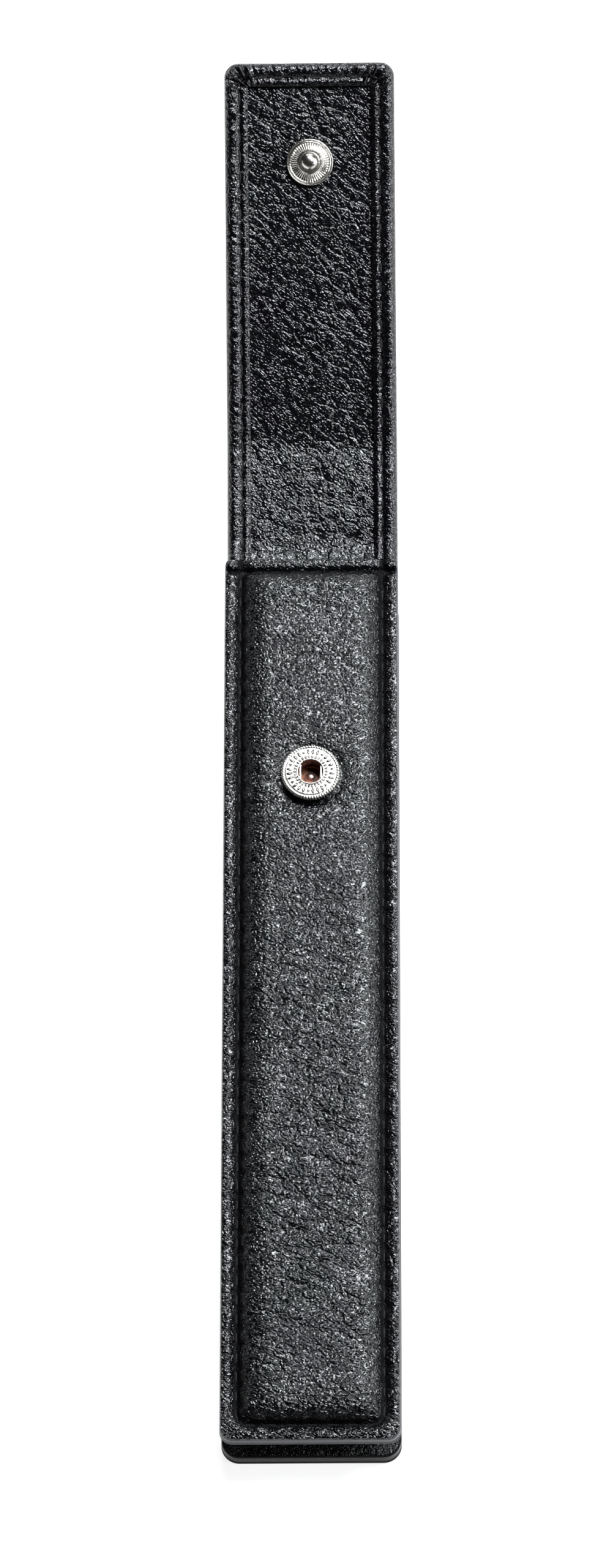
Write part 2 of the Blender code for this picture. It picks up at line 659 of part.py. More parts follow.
def main():
    clear_scene()
    finish = {
        "leather": new_material("black_nappa", (0.012, 0.012, 0.014), 0.42),
        "gusset": new_material("gusset_leather", (0.01, 0.01, 0.012), 0.5),
        "lining": new_material("lining_leather", (0.016, 0.016, 0.018), 0.45),
        "padding": new_material("foam", (0.55, 0.55, 0.5), 0.9),
        "board": new_material("fibre_board", (0.3, 0.22, 0.15), 0.85),
        "thread": new_material("black_thread", (0.015, 0.015, 0.017), 0.6),
        "nickel": new_material("nickel_plate", (0.72, 0.71, 0.69), 0.18, 1.0),
        "spring": new_material("spring_steel", (0.6, 0.6, 0.6), 0.25, 1.0),
        "brass": new_material("rivet_brass", (0.5, 0.33, 0.2), 0.35, 1.0),
    }
    shop = Workshop()
    make_back(shop, finish)
    make_gusset(shop, finish)
    make_front(shop, finish)
    make_pocket_seams(shop, finish)
    make_socket(shop, finish)
    shop.add_pivot("spine_pivot", (0.0, FOLD_Y, FOLD_Z), SPINE_SLOPE)
    make_spine(shop, finish)
    shop.add_pivot("flap_pivot", (0.0, SPINE_LENGTH, 0.0), FLAP_SLOPE - SPINE_SLOPE)
    make_flap(shop, finish)
    make_stud(shop, finish)


main()
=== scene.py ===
"""Looks of a slim leather pen case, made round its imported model.

The case lies on its back with its flap half open. Its leathers are made as flat strips with
their turned edges, stitch holes and wrinkles, and are then laid over the two folds.

Metres, in the frame of the model: +Y runs along the case towards the flap, +Z is up, out of
the padded front. A strip's flat place is (across, along, up), before it is folded.
"""

from __future__ import annotations

import json
import logging
import math
from collections.abc import Callable, Iterator, Sequence
from contextlib import contextmanager
from dataclasses import dataclass, field
from enum import Enum

import bpy
import numpy as np
from mathutils import Matrix, Vector, noise


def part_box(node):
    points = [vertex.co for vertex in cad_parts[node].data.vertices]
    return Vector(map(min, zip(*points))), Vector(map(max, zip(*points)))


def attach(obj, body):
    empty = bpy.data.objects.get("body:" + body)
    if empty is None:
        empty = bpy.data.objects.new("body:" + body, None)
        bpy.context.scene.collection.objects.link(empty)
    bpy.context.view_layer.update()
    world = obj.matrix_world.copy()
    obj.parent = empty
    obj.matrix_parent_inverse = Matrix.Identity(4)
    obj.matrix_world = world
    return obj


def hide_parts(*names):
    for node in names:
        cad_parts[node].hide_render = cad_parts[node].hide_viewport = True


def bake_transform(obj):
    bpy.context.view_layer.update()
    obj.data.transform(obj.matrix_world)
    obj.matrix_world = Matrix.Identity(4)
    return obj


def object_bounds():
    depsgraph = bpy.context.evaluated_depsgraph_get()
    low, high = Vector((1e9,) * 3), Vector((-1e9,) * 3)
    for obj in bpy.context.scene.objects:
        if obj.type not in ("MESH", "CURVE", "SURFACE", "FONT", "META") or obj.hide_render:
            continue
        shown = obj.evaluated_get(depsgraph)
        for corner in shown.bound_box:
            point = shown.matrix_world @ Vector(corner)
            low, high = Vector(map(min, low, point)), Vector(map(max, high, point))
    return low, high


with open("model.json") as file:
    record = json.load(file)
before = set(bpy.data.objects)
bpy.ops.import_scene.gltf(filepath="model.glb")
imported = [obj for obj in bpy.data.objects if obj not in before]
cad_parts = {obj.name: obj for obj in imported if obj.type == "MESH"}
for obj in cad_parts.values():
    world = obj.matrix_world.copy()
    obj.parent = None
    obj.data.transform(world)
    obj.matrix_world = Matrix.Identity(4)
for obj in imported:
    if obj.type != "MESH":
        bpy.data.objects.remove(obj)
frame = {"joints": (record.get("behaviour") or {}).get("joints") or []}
CAD_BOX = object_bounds()

MM = 0.001
FLAT_PLACE = "flat_place"
GATHER = "gather"
EDGE_RUN = "edge_run"
LOG = logging.getLogger("pen_case")

Array = np.ndarray


class Body(Enum):
    """The bodies of the case that move."""

    POCKET = "pocket"
    SPINE = "spine"
    FLAP = "flap"


class Slot(Enum):
    """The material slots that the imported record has."""

    NAPPA = "nappa"
    GUSSET = "gusset"
    LINING = "lining"
    THREAD = "thread"
    NICKEL = "nickel"
    SPRING = "spring_steel"
    BRASS = "rivet_brass"


def fold_line(joint: str) -> Vector:
    """Returns the point on a fold's line, from the joint of that name."""
    return Vector(next(j["pos_m"] for j in frame["joints"] if j["name"] == joint))


@dataclass(frozen=True)
class CaseSizes:
    """Sizes of the case that more than one piece shares."""

    half_width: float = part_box("back_leather")[1].x
    bottom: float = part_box("back_leather")[0].y
    mouth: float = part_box("front_leather")[1].y
    crown_top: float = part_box("front_leather")[1].z
    hem_top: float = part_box("back_leather")[1].z
    lining_top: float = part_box("back_lining")[1].z
    snap: float = (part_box("snap_socket")[0].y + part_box("snap_socket")[1].y) / 2
    crown_rise: float = 2.0 * MM
    leather: float = 0.9 * MM
    seam_inset: float = 2.65 * MM
    stitch_pitch: float = 3.4 * MM
    hem_below_mouth: float = 5.5 * MM
    hem_width: float = 4.2 * MM
    flap_length: float = 67.5 * MM
    flap_corner: float = 2.5 * MM
    back_corner: float = 3.0 * MM
    front_corner: float = 2.1 * MM
    flap_angle: float = math.radians(11.0)

    @property
    def rim(self) -> float:
        """Height of the front's rim."""
        return self.crown_top - self.crown_rise


SIZES = CaseSizes()


def smoothstep(share: Array) -> Array:
    """Returns the smooth rise from 0 to 1 of a share that runs from 0 to 1."""
    share = np.clip(share, 0.0, 1.0)
    return share * share * (3.0 - 2.0 * share)


def bump(distance: Array, width: float) -> Array:
    """Returns a bell of height 1 and the given half width, at zero distance."""
    return np.exp(-((distance / width) ** 2))


def crumple(places: Array, size: float, seed: float = 0.0) -> Array:
    """Returns smooth noise between about -1 and 1.

    Args:
        places: The points, one a row.
        size: How far apart its hills are, in metres.
        seed: Moves the noise, so that two uses differ.
    """
    scaled = places / size + np.array([seed * 7.13, seed * 3.71, seed * 5.37])
    return np.array([noise.noise(Vector(p)) for p in scaled])


def deselect_all() -> None:
    """Leaves object mode with nothing selected."""
    if bpy.context.mode != "OBJECT":
        bpy.ops.object.mode_set(mode="OBJECT")
    bpy.ops.object.select_all(action="DESELECT")


def select_only(*objects: bpy.types.Object) -> None:
    """Selects these objects alone and makes the first one active."""
    deselect_all()
    for obj in objects:
        obj.select_set(True)
    bpy.context.view_layer.objects.active = objects[0]


def corners_of(obj: bpy.types.Object) -> Array:
    """Returns the places of the mesh's vertices, one a row."""
    places = np.empty(len(obj.data.vertices) * 3)
    obj.data.vertices.foreach_get("co", places)
    return places.reshape(-1, 3)


def move_corners(obj: bpy.types.Object, places: Array) -> None:
    """Moves the mesh's vertices to these places."""
    obj.data.vertices.foreach_set("co", places.astype(np.float32).ravel())
    obj.data.update()


def apply_modifier(obj: bpy.types.Object, kind: str, **settings: object) -> None:
    """Adds a modifier with its settings and applies it.

    Args:
        obj: The piece.
        kind: The modifier's type.
        settings: Its properties.
    """
    select_only(obj)
    modifier = obj.modifiers.new(kind.title(), kind)
    for name, value in settings.items():
        setattr(modifier, name, value)
    bpy.ops.object.modifier_apply(modifier=modifier.name)


def shade(obj: bpy.types.Object, angle: float = 40.0) -> None:
    """Shades a piece smooth, with the edges over an angle in degrees left sharp."""
    select_only(obj)
    bpy.ops.object.shade_smooth_by_angle(angle=math.radians(angle))


def lay_order(rows: int, columns: int) -> tuple[Array, Array]:
    """Returns the row and the column of each vertex of a laid grid."""
    index = np.arange(rows * columns)
    return index // columns, index % columns


def lay_grid(name: str, places: Array) -> bpy.types.Object:
    """Adds a grid and moves its points to these places.

    Args:
        name: The new object's name.
        places: Rows by columns by three.

    Returns:
        The grid, as an object at the origin.
    """
    rows, columns = places.shape[:2]
    deselect_all()
    bpy.ops.mesh.primitive_grid_add(x_subdivisions=columns - 1, y_subdivisions=rows - 1, size=2.0)
    grid = bpy.context.object
    grid.name = name
    grid.data.name = name
    move_corners(grid, places[lay_order(rows, columns)])
    return grid


def join(name: str, pieces: Sequence[bpy.types.Object]) -> bpy.types.Object:
    """Joins pieces into the first one, under a new name, and returns it."""
    select_only(*pieces)
    if len(pieces) > 1:
        bpy.ops.object.join()
    joined = bpy.context.object
    joined.name = name
    joined.data.name = name
    return joined


@contextmanager
def edit_mode(action: str = "SELECT") -> Iterator[None]:
    """Edits the active mesh, with all of it selected, or nothing if the action is DESELECT."""
    bpy.ops.object.mode_set(mode="EDIT")
    bpy.ops.mesh.select_all(action=action)
    yield
    bpy.ops.object.mode_set(mode="OBJECT")


def close_up(obj: bpy.types.Object, weld: float = 0.002 * MM) -> None:
    """Welds a mesh's seams, fills the holes that are left and turns its faces outwards."""
    select_only(obj)
    with edit_mode():
        bpy.ops.mesh.remove_doubles(threshold=weld)
        bpy.ops.mesh.dissolve_degenerate(threshold=weld / 2)
        bpy.ops.mesh.select_all(action="SELECT")
        bpy.ops.mesh.fill_holes(sides=0)
        bpy.ops.mesh.select_all(action="SELECT")
        bpy.ops.mesh.normals_make_consistent(inside=False)


def mark(obj: bpy.types.Object, name: str, kind: str, values: Array) -> None:
    """Stores values on a mesh's points, for a material to read.

    Args:
        obj: The piece.
        name: The attribute's name.
        kind: FLOAT or FLOAT_VECTOR.
        values: One value, or one row of three, for each point.
    """
    attribute = obj.data.attributes.get(name) or obj.data.attributes.new(name, kind, "POINT")
    key = "vector" if kind == "FLOAT_VECTOR" else "value"
    attribute.data.foreach_set(key, values.astype(np.float32).ravel())


def mark_flat(
    obj: bpy.types.Object,
    gather: Array | float = 0.0,
    run: Array | None = None,
) -> None:
    """Stores, for the finishes, how a piece lies before it is wrinkled and folded.

    Args:
        obj: The piece, still flat.
        gather: How drawn together its leather is at each point, from 0 to 1.
        run: At each point (distance along the turned edge, distance in from it, 0).
    """
    places = corners_of(obj)
    mark(obj, FLAT_PLACE, "FLOAT_VECTOR", places)
    mark(obj, EDGE_RUN, "FLOAT_VECTOR", places[:, [1, 0, 2]] if run is None else run)
    mark(obj, GATHER, "FLOAT", np.broadcast_to(gather, len(places)))


def even_out(profile: Sequence[tuple[float, float]], step: float) -> Array:
    """Returns a profile's points with more between them, none further apart than a step."""
    points = [np.array(profile[0])]
    for start, end in zip(profile, profile[1:]):
        parts = max(1, math.ceil(math.dist(start, end) / step))
        way = np.array(end) - start
        points += [np.array(start) + way * i / parts for i in range(1, parts + 1)]
    return np.array(points)


def arc_of(
    centre: tuple[float, float], radius: float, start: float, end: float, steps: int
) -> list[tuple[float, float]]:
    """Returns the points of an arc in a profile, between two angles in degrees."""
    angles = np.radians(np.linspace(start, end, steps + 1))
    return [(centre[0] + radius * math.cos(a), centre[1] + radius * math.sin(a)) for a in angles]


def spin_profile(name: str, profile: Array, steps: int) -> bpy.types.Object:
    """Turns a profile round the Z axis into a closed solid.

    Args:
        name: The new piece's name.
        profile: Rows of (radius, height), a closed loop or one that ends on the axis.
        steps: How many parts the turn has.

    Returns:
        The turned piece, at the origin.
    """
    deselect_all()
    bpy.ops.mesh.primitive_circle_add(vertices=len(profile), radius=1.0, fill_type="NOTHING")
    turned = bpy.context.object
    turned.name = name
    turned.data.name = name
    move_corners(turned, np.column_stack([profile[:, 0], np.zeros(len(profile)), profile[:, 1]]))
    with edit_mode():
        bpy.ops.mesh.spin(steps=steps, angle=2 * math.pi, center=(0, 0, 0), axis=(0, 0, 1))
    close_up(turned)
    return turned


def place_on(obj: bpy.types.Object, place: Vector, slope: float = 0.0) -> None:
    """Moves a piece's mesh to a place, tilted about X by a slope."""
    obj.data.transform(Matrix.Translation(place) @ Matrix.Rotation(slope, 4, "X"))


# ---------------------------------------------------------------- folds and routes


@dataclass(frozen=True)
class Fold:
    """A fold across the strip: its line, its angle while half open, and its spread each way."""

    place: float
    angle: float
    spread: float


@dataclass(frozen=True)
class Strip:
    """The long strip of back, spine and flap, and how it lies over its two folds."""

    first: Vector = field(default_factory=lambda: fold_line("spine_fold"))
    second: Vector = field(default_factory=lambda: fold_line("flap_fold"))
    spread: float = 4.0 * MM

    @property
    def spine_angle(self) -> float:
        """Slope of the spine."""
        rise = self.second - self.first
        return math.atan2(rise.z, rise.y)

    @property
    def spine_length(self) -> float:
        """Length from fold to fold."""
        return (self.second - self.first).length

    @property
    def middle(self) -> float:
        """Where the strip is halfway along the spine."""
        return self.first.y + self.spine_length / 2

    @property
    def flap_start(self) -> float:
        """Where the second fold's line is on the flat strip."""
        return self.first.y + self.spine_length

    @property
    def end(self) -> float:
        """The flap's free end on the flat strip."""
        return self.flap_start + SIZES.flap_length

    @property
    def folds(self) -> tuple[Fold, Fold]:
        """The folds, the flap's first, in the order that they are laid in."""
        flap = Fold(self.flap_start, SIZES.flap_angle, self.spread)
        return flap, Fold(self.first.y, self.spine_angle, self.spread)

    def lay(self, flat: Array) -> Array:
        """Takes points of the flat strip to where they are with the flap half open."""
        laid = flat.copy()
        for fold in self.folds:
            start = fold.place - fold.spread
            angle = fold.angle * smoothstep((flat[:, 1] - start) / (2 * fold.spread))
            along, up = laid[:, 1] - fold.place, laid[:, 2] - self.first.z
            laid[:, 1] = fold.place + along * np.cos(angle) - up * np.sin(angle)
            laid[:, 2] = self.first.z + along * np.sin(angle) + up * np.cos(angle)
        return laid

    def lay_piece(self, obj: bpy.types.Object) -> None:
        """Lays a piece that was made on the flat strip."""
        move_corners(obj, self.lay(corners_of(obj)))

    def bend_lower(self, obj: bpy.types.Object) -> None:
        """Bakes a piece's place into its mesh, after finding where the first fold's bend starts
        and ends.
        """
        start, end = self._span(self.first.y)
        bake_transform(obj)

    def bend_upper(self, obj: bpy.types.Object) -> None:
        """Bakes a piece's place into its mesh, after finding where the second fold's bend starts
        and ends.
        """
        start, end = self._span(self.flap_start)
        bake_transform(obj)

    def _span(self, place: float) -> tuple[Vector, Vector]:
        """Where a fold's bend starts and ends, on the laid strip."""
        ends = np.array([[0.0, place + way * self.spread, self.first.z] for way in (-1, 1)])
        start, end = self.lay(ends)
        return Vector(start), Vector(end)


STRIP = Strip()


@dataclass(frozen=True)
class Route:
    """A U round three sides of a plan: up the left side, across its closed end, and back."""

    half_width: float
    open_y: float
    closed_y: float
    corner: float
    spacing: float = 0.3 * MM
    corner_steps: int = 18

    @property
    def way(self) -> float:
        """1 if the closed end is the far one along Y, or -1."""
        return 1.0 if self.closed_y > self.open_y else -1.0

    @property
    def sides(self) -> int:
        """How many points each straight side has."""
        return max(2, round(abs(self.closed_y - self.open_y) / self.spacing))

    @property
    def across(self) -> int:
        """How many points the closed end has."""
        return max(2, round(2 * self.half_width / self.spacing))

    def radius(self, inset: float) -> float:
        """The corner's radius at an inset: it tightens inwards until it is square."""
        return max(self.corner - 0.55 * inset, 0.0)

    def points(self, inset: float, open_y: float | None = None) -> Array:
        """Points of the U at an inset from the plan's edge.

        Args:
            inset: Distance in from the edge.
            open_y: Where the U starts and ends, if not at the plan's open end.

        Returns:
            One (x, y) a row, as many at each inset.
        """
        open_y = self.open_y if open_y is None else open_y
        radius = self.radius(inset)
        outer = self.half_width - inset
        turn = self.closed_y - self.way * (inset + radius)
        side = np.linspace(open_y, turn, self.sides)
        left = np.stack([np.full(self.sides, -outer), side], axis=1)
        angles = np.linspace(math.pi, math.pi / 2, self.corner_steps + 2)[1:-1]
        arc = np.stack(
            [radius - outer + radius * np.cos(angles), turn + self.way * radius * np.sin(angles)],
            axis=1,
        )
        level = self.closed_y - self.way * inset
        top = np.stack(
            [
                np.linspace(radius - outer, outer - radius, self.across),
                np.full(self.across, level),
            ],
            axis=1,
        )
        mirrored = np.concatenate([left, arc])[::-1] * np.array([-1.0, 1.0])
        return np.concatenate([left, arc, top, mirrored])

    def lengths(self, inset: float) -> Array:
        """Distance along the U at an inset, from its start to each of its points."""
        steps = np.diff(self.points(inset), axis=0)
        return np.concatenate([[0.0], np.cumsum(np.hypot(steps[:, 0], steps[:, 1]))])


@dataclass(frozen=True)
class Seam:
    """A run of stitches along a line: holes at an even pitch, thread from hole to hole."""

    pitch: float = SIZES.stitch_pitch
    thread: float = 2.5 * MM
    radius: float = 0.17 * MM

    def holes(self, length: Array) -> Array:
        """1 at each hole and 0 halfway between, by the distance along the seam."""
        return (0.5 + 0.5 * np.cos(2 * math.pi * length / self.pitch)) ** 2

    def sew(
        self, name: str, path: Array, ups: Array, thread: bpy.types.Material
    ) -> bpy.types.Object:
        """Lays threads along a path, one for each pitch.

        Args:
            name: The new piece's name.
            path: Points of the seam, one a row, close together.
            ups: The leather's normal at each point, or one for all of them.
            thread: The threads' finish.

        Returns:
            All the threads as one object.
        """
        ups = np.broadcast_to(ups, path.shape)
        steps = np.linalg.norm(np.diff(path, axis=0), axis=1)
        run = np.concatenate([[0.0], np.cumsum(steps)])
        count = int(run[-1] // self.pitch)
        threads = []
        for i in range(count):
            middle = (i + 0.5) * self.pitch
            ends = [middle - self.thread / 2, middle + self.thread / 2]
            low, high = (np.array([np.interp(e, run, path[:, k]) for k in range(3)]) for e in ends)
            up = np.array([np.interp(middle, run, ups[:, k]) for k in range(3)])
            centre = np.array([np.interp(middle, run, path[:, k]) for k in range(3)])
            threads.append(self._thread(centre, high - low, up))
        stitches = join(name, threads)
        mark_flat(stitches)
        dress(stitches, thread)
        return stitches

    def _thread(self, centre: Array, along: Array, up: Array) -> bpy.types.Object:
        """One stitch: a short round of thread that dives into the leather at both ends."""
        deselect_all()
        bpy.ops.mesh.primitive_cylinder_add(
            vertices=8, radius=self.radius, depth=1.0, end_fill_type="TRIFAN"
        )
        stitch = bpy.context.object
        with edit_mode():
            for level in (0.25, 0.0, -0.25):
                bpy.ops.mesh.select_all(action="SELECT")
                bpy.ops.mesh.bisect(plane_co=(0, 0, level), plane_no=(0, 0, 1))
        shape = corners_of(stitch)
        length = float(np.linalg.norm(along))
        axis = along / length
        rise = up - axis * float(up @ axis)
        rise /= np.linalg.norm(rise)
        side = np.cross(axis, rise)
        share = shape[:, 2] * 2.0
        slim = np.sqrt(np.clip(1.0 - 0.75 * share**4, 0.0, 1.0))
        dive = -1.3 * self.radius * share**4
        placed = (
            centre
            + np.outer(shape[:, 2] * length, axis)
            + np.outer(shape[:, 0] * slim + dive, rise)
            + np.outer(shape[:, 1] * slim, side)
        )
        move_corners(stitch, placed)
        return stitch


# ---------------------------------------------------------------- finishes


def add_node(
    tree: bpy.types.NodeTree,
    kind: str,
    inputs: dict[str | int, object] | None = None,
    **settings: object,
) -> bpy.types.Node:
    """Adds a node with its settings, and sets or links its inputs.

    Args:
        tree: The node tree.
        kind: The node's type.
        inputs: A value or another node's output for each input, by name or number.
        settings: The node's own properties.

    Returns:
        The new node.
    """
    node = tree.nodes.new(kind)
    for name, value in settings.items():
        setattr(node, name, value)
    for name, value in (inputs or {}).items():
        if isinstance(value, bpy.types.NodeSocket):
            tree.links.new(value, node.inputs[name])
        else:
            node.inputs[name].default_value = value
    return node


def linear(colour: str) -> tuple[float, float, float, float]:
    """Returns an sRGB hex colour as linear RGBA."""
    parts = [int(colour[i : i + 2], 16) / 255 for i in (1, 3, 5)]
    red, green, blue = [c / 12.92 if c <= 0.04045 else ((c + 0.055) / 1.055) ** 2.4 for c in parts]
    return red, green, blue, 1.0


def new_material(name: str) -> tuple[bpy.types.Material, bpy.types.NodeTree, bpy.types.Node]:
    """Returns a new material, its tree and its Principled shader."""
    material = bpy.data.materials.new(name)
    material.use_nodes = True
    return material, material.node_tree, material.node_tree.nodes["Principled BSDF"]


def math_node(
    tree: bpy.types.NodeTree, operation: str, first: object, second: object = 0.0
) -> bpy.types.NodeSocket:
    """Returns the result of a sum on one or two values."""
    return add_node(tree, "ShaderNodeMath", {0: first, 1: second}, operation=operation).outputs[0]


def stored(tree: bpy.types.NodeTree, name: str, output: str = "Vector") -> bpy.types.NodeSocket:
    """Returns what a piece's points store under a name."""
    return add_node(tree, "ShaderNodeAttribute", attribute_name=name).outputs[output]


def own_place(tree: bpy.types.NodeTree) -> bpy.types.NodeSocket:
    """Returns each point's place on its own piece."""
    return add_node(tree, "ShaderNodeTexCoord").outputs["Object"]


def noise_node(
    tree: bpy.types.NodeTree,
    place: bpy.types.NodeSocket,
    size: float,
    detail: float,
    output: str = "Fac",
) -> bpy.types.NodeSocket:
    """Returns noise with hills of a size in metres, read at a place."""
    inputs = {"Vector": place, "Scale": 1 / size, "Detail": detail}
    return add_node(tree, "ShaderNodeTexNoise", inputs).outputs[output]


def mapping_node(
    tree: bpy.types.NodeTree,
    place: bpy.types.NodeSocket,
    scale: tuple[float, float, float] = (1.0, 1.0, 1.0),
    lean: float = 0.0,
    kind: str = "POINT",
) -> bpy.types.NodeSocket:
    """Returns a place scaled and turned about Z. As a TEXTURE, it is the pattern that moves."""
    inputs = {"Vector": place, "Rotation": (0.0, 0.0, lean), "Scale": scale}
    return add_node(tree, "ShaderNodeMapping", inputs, vector_type=kind).outputs["Vector"]


def range_node(
    tree: bpy.types.NodeTree,
    value: bpy.types.NodeSocket,
    source: tuple[float, float],
    target: tuple[float, float] = (0.0, 1.0),
    kind: str = "SMOOTHSTEP",
) -> bpy.types.NodeSocket:
    """Returns a value taken from one range to another, smoothly or as a LINEAR share."""
    inputs = {
        "Value": value,
        "From Min": source[0],
        "From Max": source[1],
        "To Min": target[0],
        "To Max": target[1],
    }
    return add_node(tree, "ShaderNodeMapRange", inputs, interpolation_type=kind).outputs["Result"]


def ramp_node(
    tree: bpy.types.NodeTree, share: bpy.types.NodeSocket, low: str, high: str
) -> bpy.types.NodeSocket:
    """Returns a colour between two hex colours, by a share."""
    ramp = add_node(tree, "ShaderNodeValToRGB", {"Fac": share})
    for stop, colour in zip(ramp.color_ramp.elements, (low, high)):
        stop.color = linear(colour)
    return ramp.outputs["Color"]


def bump_node(
    tree: bpy.types.NodeTree, height: bpy.types.NodeSocket, distance: float, strength: float
) -> bpy.types.NodeSocket:
    """Returns the normal of a surface that is raised by a height."""
    inputs = {"Height": height, "Distance": distance, "Strength": strength}
    return add_node(tree, "ShaderNodeBump", inputs).outputs["Normal"]


@dataclass(frozen=True)
class GrainedLeather:
    """Chrome-tanned sheepskin or calf, dyed through and sprayed with a thin satin finish.

    The eye sees small rounded grain cells that catch the light one by one, a net of finer
    and longer creases between them, and a duller bottom in each crease, painted darker as shade.
    """

    name: str
    colour: str = "#08080d"
    crease_shade_colour: str = "#020203"
    cell: float = 0.42 * MM
    cell_depth: float = 0.065 * MM
    groove: float = 0.32
    fibre: float = 0.2 * MM
    fibre_depth: float = 0.01 * MM
    pebble: float = 1.2 * MM
    pebble_depth: float = 0.11 * MM
    crease: float = 1.7 * MM
    crease_width: float = 0.13
    crease_depth: float = 0.08 * MM
    cloud: float = 8 * MM
    crease_dull: float = 0.05
    lean: float = 0.0
    stretch: float = 1.0
    roughness: float = 0.14
    gloss: float = 0.5
    gather_size: float = 0.8 * MM
    gather_depth: float = 0.13 * MM
    rough_from: float | None = None
    rough_to: float | None = None
    calm: float = 1.0
    laid_flat: bool = False

    def material(self) -> bpy.types.Material:
        """Builds the leather's node tree."""
        material, tree, shader = new_material(self.name)
        place = own_place(tree) if self.laid_flat else stored(tree, FLAT_PLACE)
        height, mask = self._relief(tree, place)
        relief = math_node(tree, "ADD", height, self._gather(tree))
        normal = bump_node(tree, relief, 1.0, 1.0)
        # The creases are painted darker than the cells: painted shade, as the bump casts none.
        tint = ramp_node(tree, mask, self.crease_shade_colour, self.colour)
        roughness = self.roughness + self.crease_dull, self.roughness
        dull = range_node(tree, mask, (0.0, 1.0), roughness, "LINEAR")
        tree.links.new(tint, shader.inputs["Base Color"])
        tree.links.new(dull, shader.inputs["Roughness"])
        tree.links.new(normal, shader.inputs["Normal"])
        shader.inputs["IOR"].default_value = 1.47
        shader.inputs["Specular IOR Level"].default_value = self.gloss
        return material

    def _relief(
        self, tree: bpy.types.NodeTree, place: bpy.types.NodeSocket
    ) -> tuple[bpy.types.NodeSocket, bpy.types.NodeSocket]:
        """Grain cells and creases, as a height in metres and as a mask from 0 in the creases,
        where shade is painted.
        """
        wander = noise_node(tree, place, 3.0 * self.cell, 2.0, "Color")
        pushed = add_node(
            tree,
            "ShaderNodeVectorMath",
            {0: wander, 1: (1.6 * self.cell,) * 3, 2: place},
            operation="MULTIPLY_ADD",
        ).outputs[0]
        drawn = mapping_node(tree, pushed, (self.stretch, 1.0, 1.0), self.lean, "TEXTURE")
        grain = self._grooves(tree, drawn, self.cell, self.groove)
        folds = self._grooves(tree, drawn, self.crease, self.crease_width)
        fibre = noise_node(tree, place, self.fibre, 2.0)
        pebble = noise_node(tree, drawn, self.pebble, 1.0)
        cloud = noise_node(tree, place, self.cloud, 2.0)
        present = range_node(tree, cloud, (0.38, 0.6), (0.3, 1.0))
        strength = math_node(tree, "MULTIPLY", present, self._strength(tree, place))
        creased = math_node(tree, "MULTIPLY", folds, self.crease_depth)
        heights = [
            math_node(tree, "MULTIPLY", grain, self.cell_depth),
            math_node(tree, "MULTIPLY", creased, strength),
            math_node(tree, "MULTIPLY", fibre, self.fibre_depth),
            math_node(tree, "MULTIPLY", pebble, self.pebble_depth),
        ]
        height = heights[0]
        for more in heights[1:]:
            height = math_node(tree, "ADD", height, more)
        mask = math_node(tree, "MULTIPLY", grain, folds)
        return height, mask

    def _grooves(
        self, tree: bpy.types.NodeTree, place: bpy.types.NodeSocket, size: float, width: float
    ) -> bpy.types.NodeSocket:
        """Flat-topped cells of a size: 1 on a cell and 0 in the groove between two.

        Args:
            tree: The leather's nodes.
            place: Where the pattern is read.
            size: Size of a cell, in metres.
            width: How much of a cell its groove takes.
        """
        edge = add_node(
            tree,
            "ShaderNodeTexVoronoi",
            {"Vector": place, "Scale": 1 / size},
            feature="DISTANCE_TO_EDGE",
        ).outputs["Distance"]
        return range_node(tree, edge, (0.0, width))

    def _strength(
        self, tree: bpy.types.NodeTree, place: bpy.types.NodeSocket
    ) -> bpy.types.NodeSocket | float:
        """How strong the creases are along the piece: calm at one end and full at the other."""
        if self.rough_from is None or self.rough_to is None:
            return 1.0
        along = add_node(tree, "ShaderNodeSeparateXYZ", {"Vector": place}).outputs["Y"]
        return range_node(tree, along, (self.rough_from, self.rough_to), (self.calm, 1.0))

    def _gather(self, tree: bpy.types.NodeTree) -> bpy.types.NodeSocket:
        """Fine wrinkles across a turned edge, where the leather is drawn together."""
        amount = stored(tree, GATHER, "Fac")
        drawn = mapping_node(tree, stored(tree, EDGE_RUN), (1.0, 0.3, 0.3))
        wrinkle = noise_node(tree, drawn, self.gather_size, 2.0)
        high = math_node(tree, "MULTIPLY", wrinkle, self.gather_depth)
        return math_node(tree, "MULTIPLY", high, amount)


@dataclass(frozen=True)
class EdgePaint:
    """Acrylic edge paint, brushed on in two coats over the cut edges of the glued layers.

    It dries to a soft gloss, greyer than the leather, with the layers just showing under it.
    """

    name: str = "edge_paint_brushed"
    colour: str = "#2b2c35"
    low_colour: str = "#191a20"
    ripple: float = 1.2 * MM
    roughness: float = 0.3
    gloss: float = 0.22

    def material(self) -> bpy.types.Material:
        """Builds the paint's node tree."""
        material, tree, shader = new_material(self.name)
        drawn = mapping_node(tree, stored(tree, FLAT_PLACE), (1.0, 1.0, 3.0))
        ripple = noise_node(tree, drawn, self.ripple, 4.0)
        tint = ramp_node(tree, ripple, self.low_colour, self.colour)
        normal = bump_node(tree, ripple, 0.1 * MM, 0.8)
        tree.links.new(tint, shader.inputs["Base Color"])
        tree.links.new(normal, shader.inputs["Normal"])
        shader.inputs["Roughness"].default_value = self.roughness
        shader.inputs["IOR"].default_value = 1.49
        shader.inputs["Specular IOR Level"].default_value = self.gloss
        return material


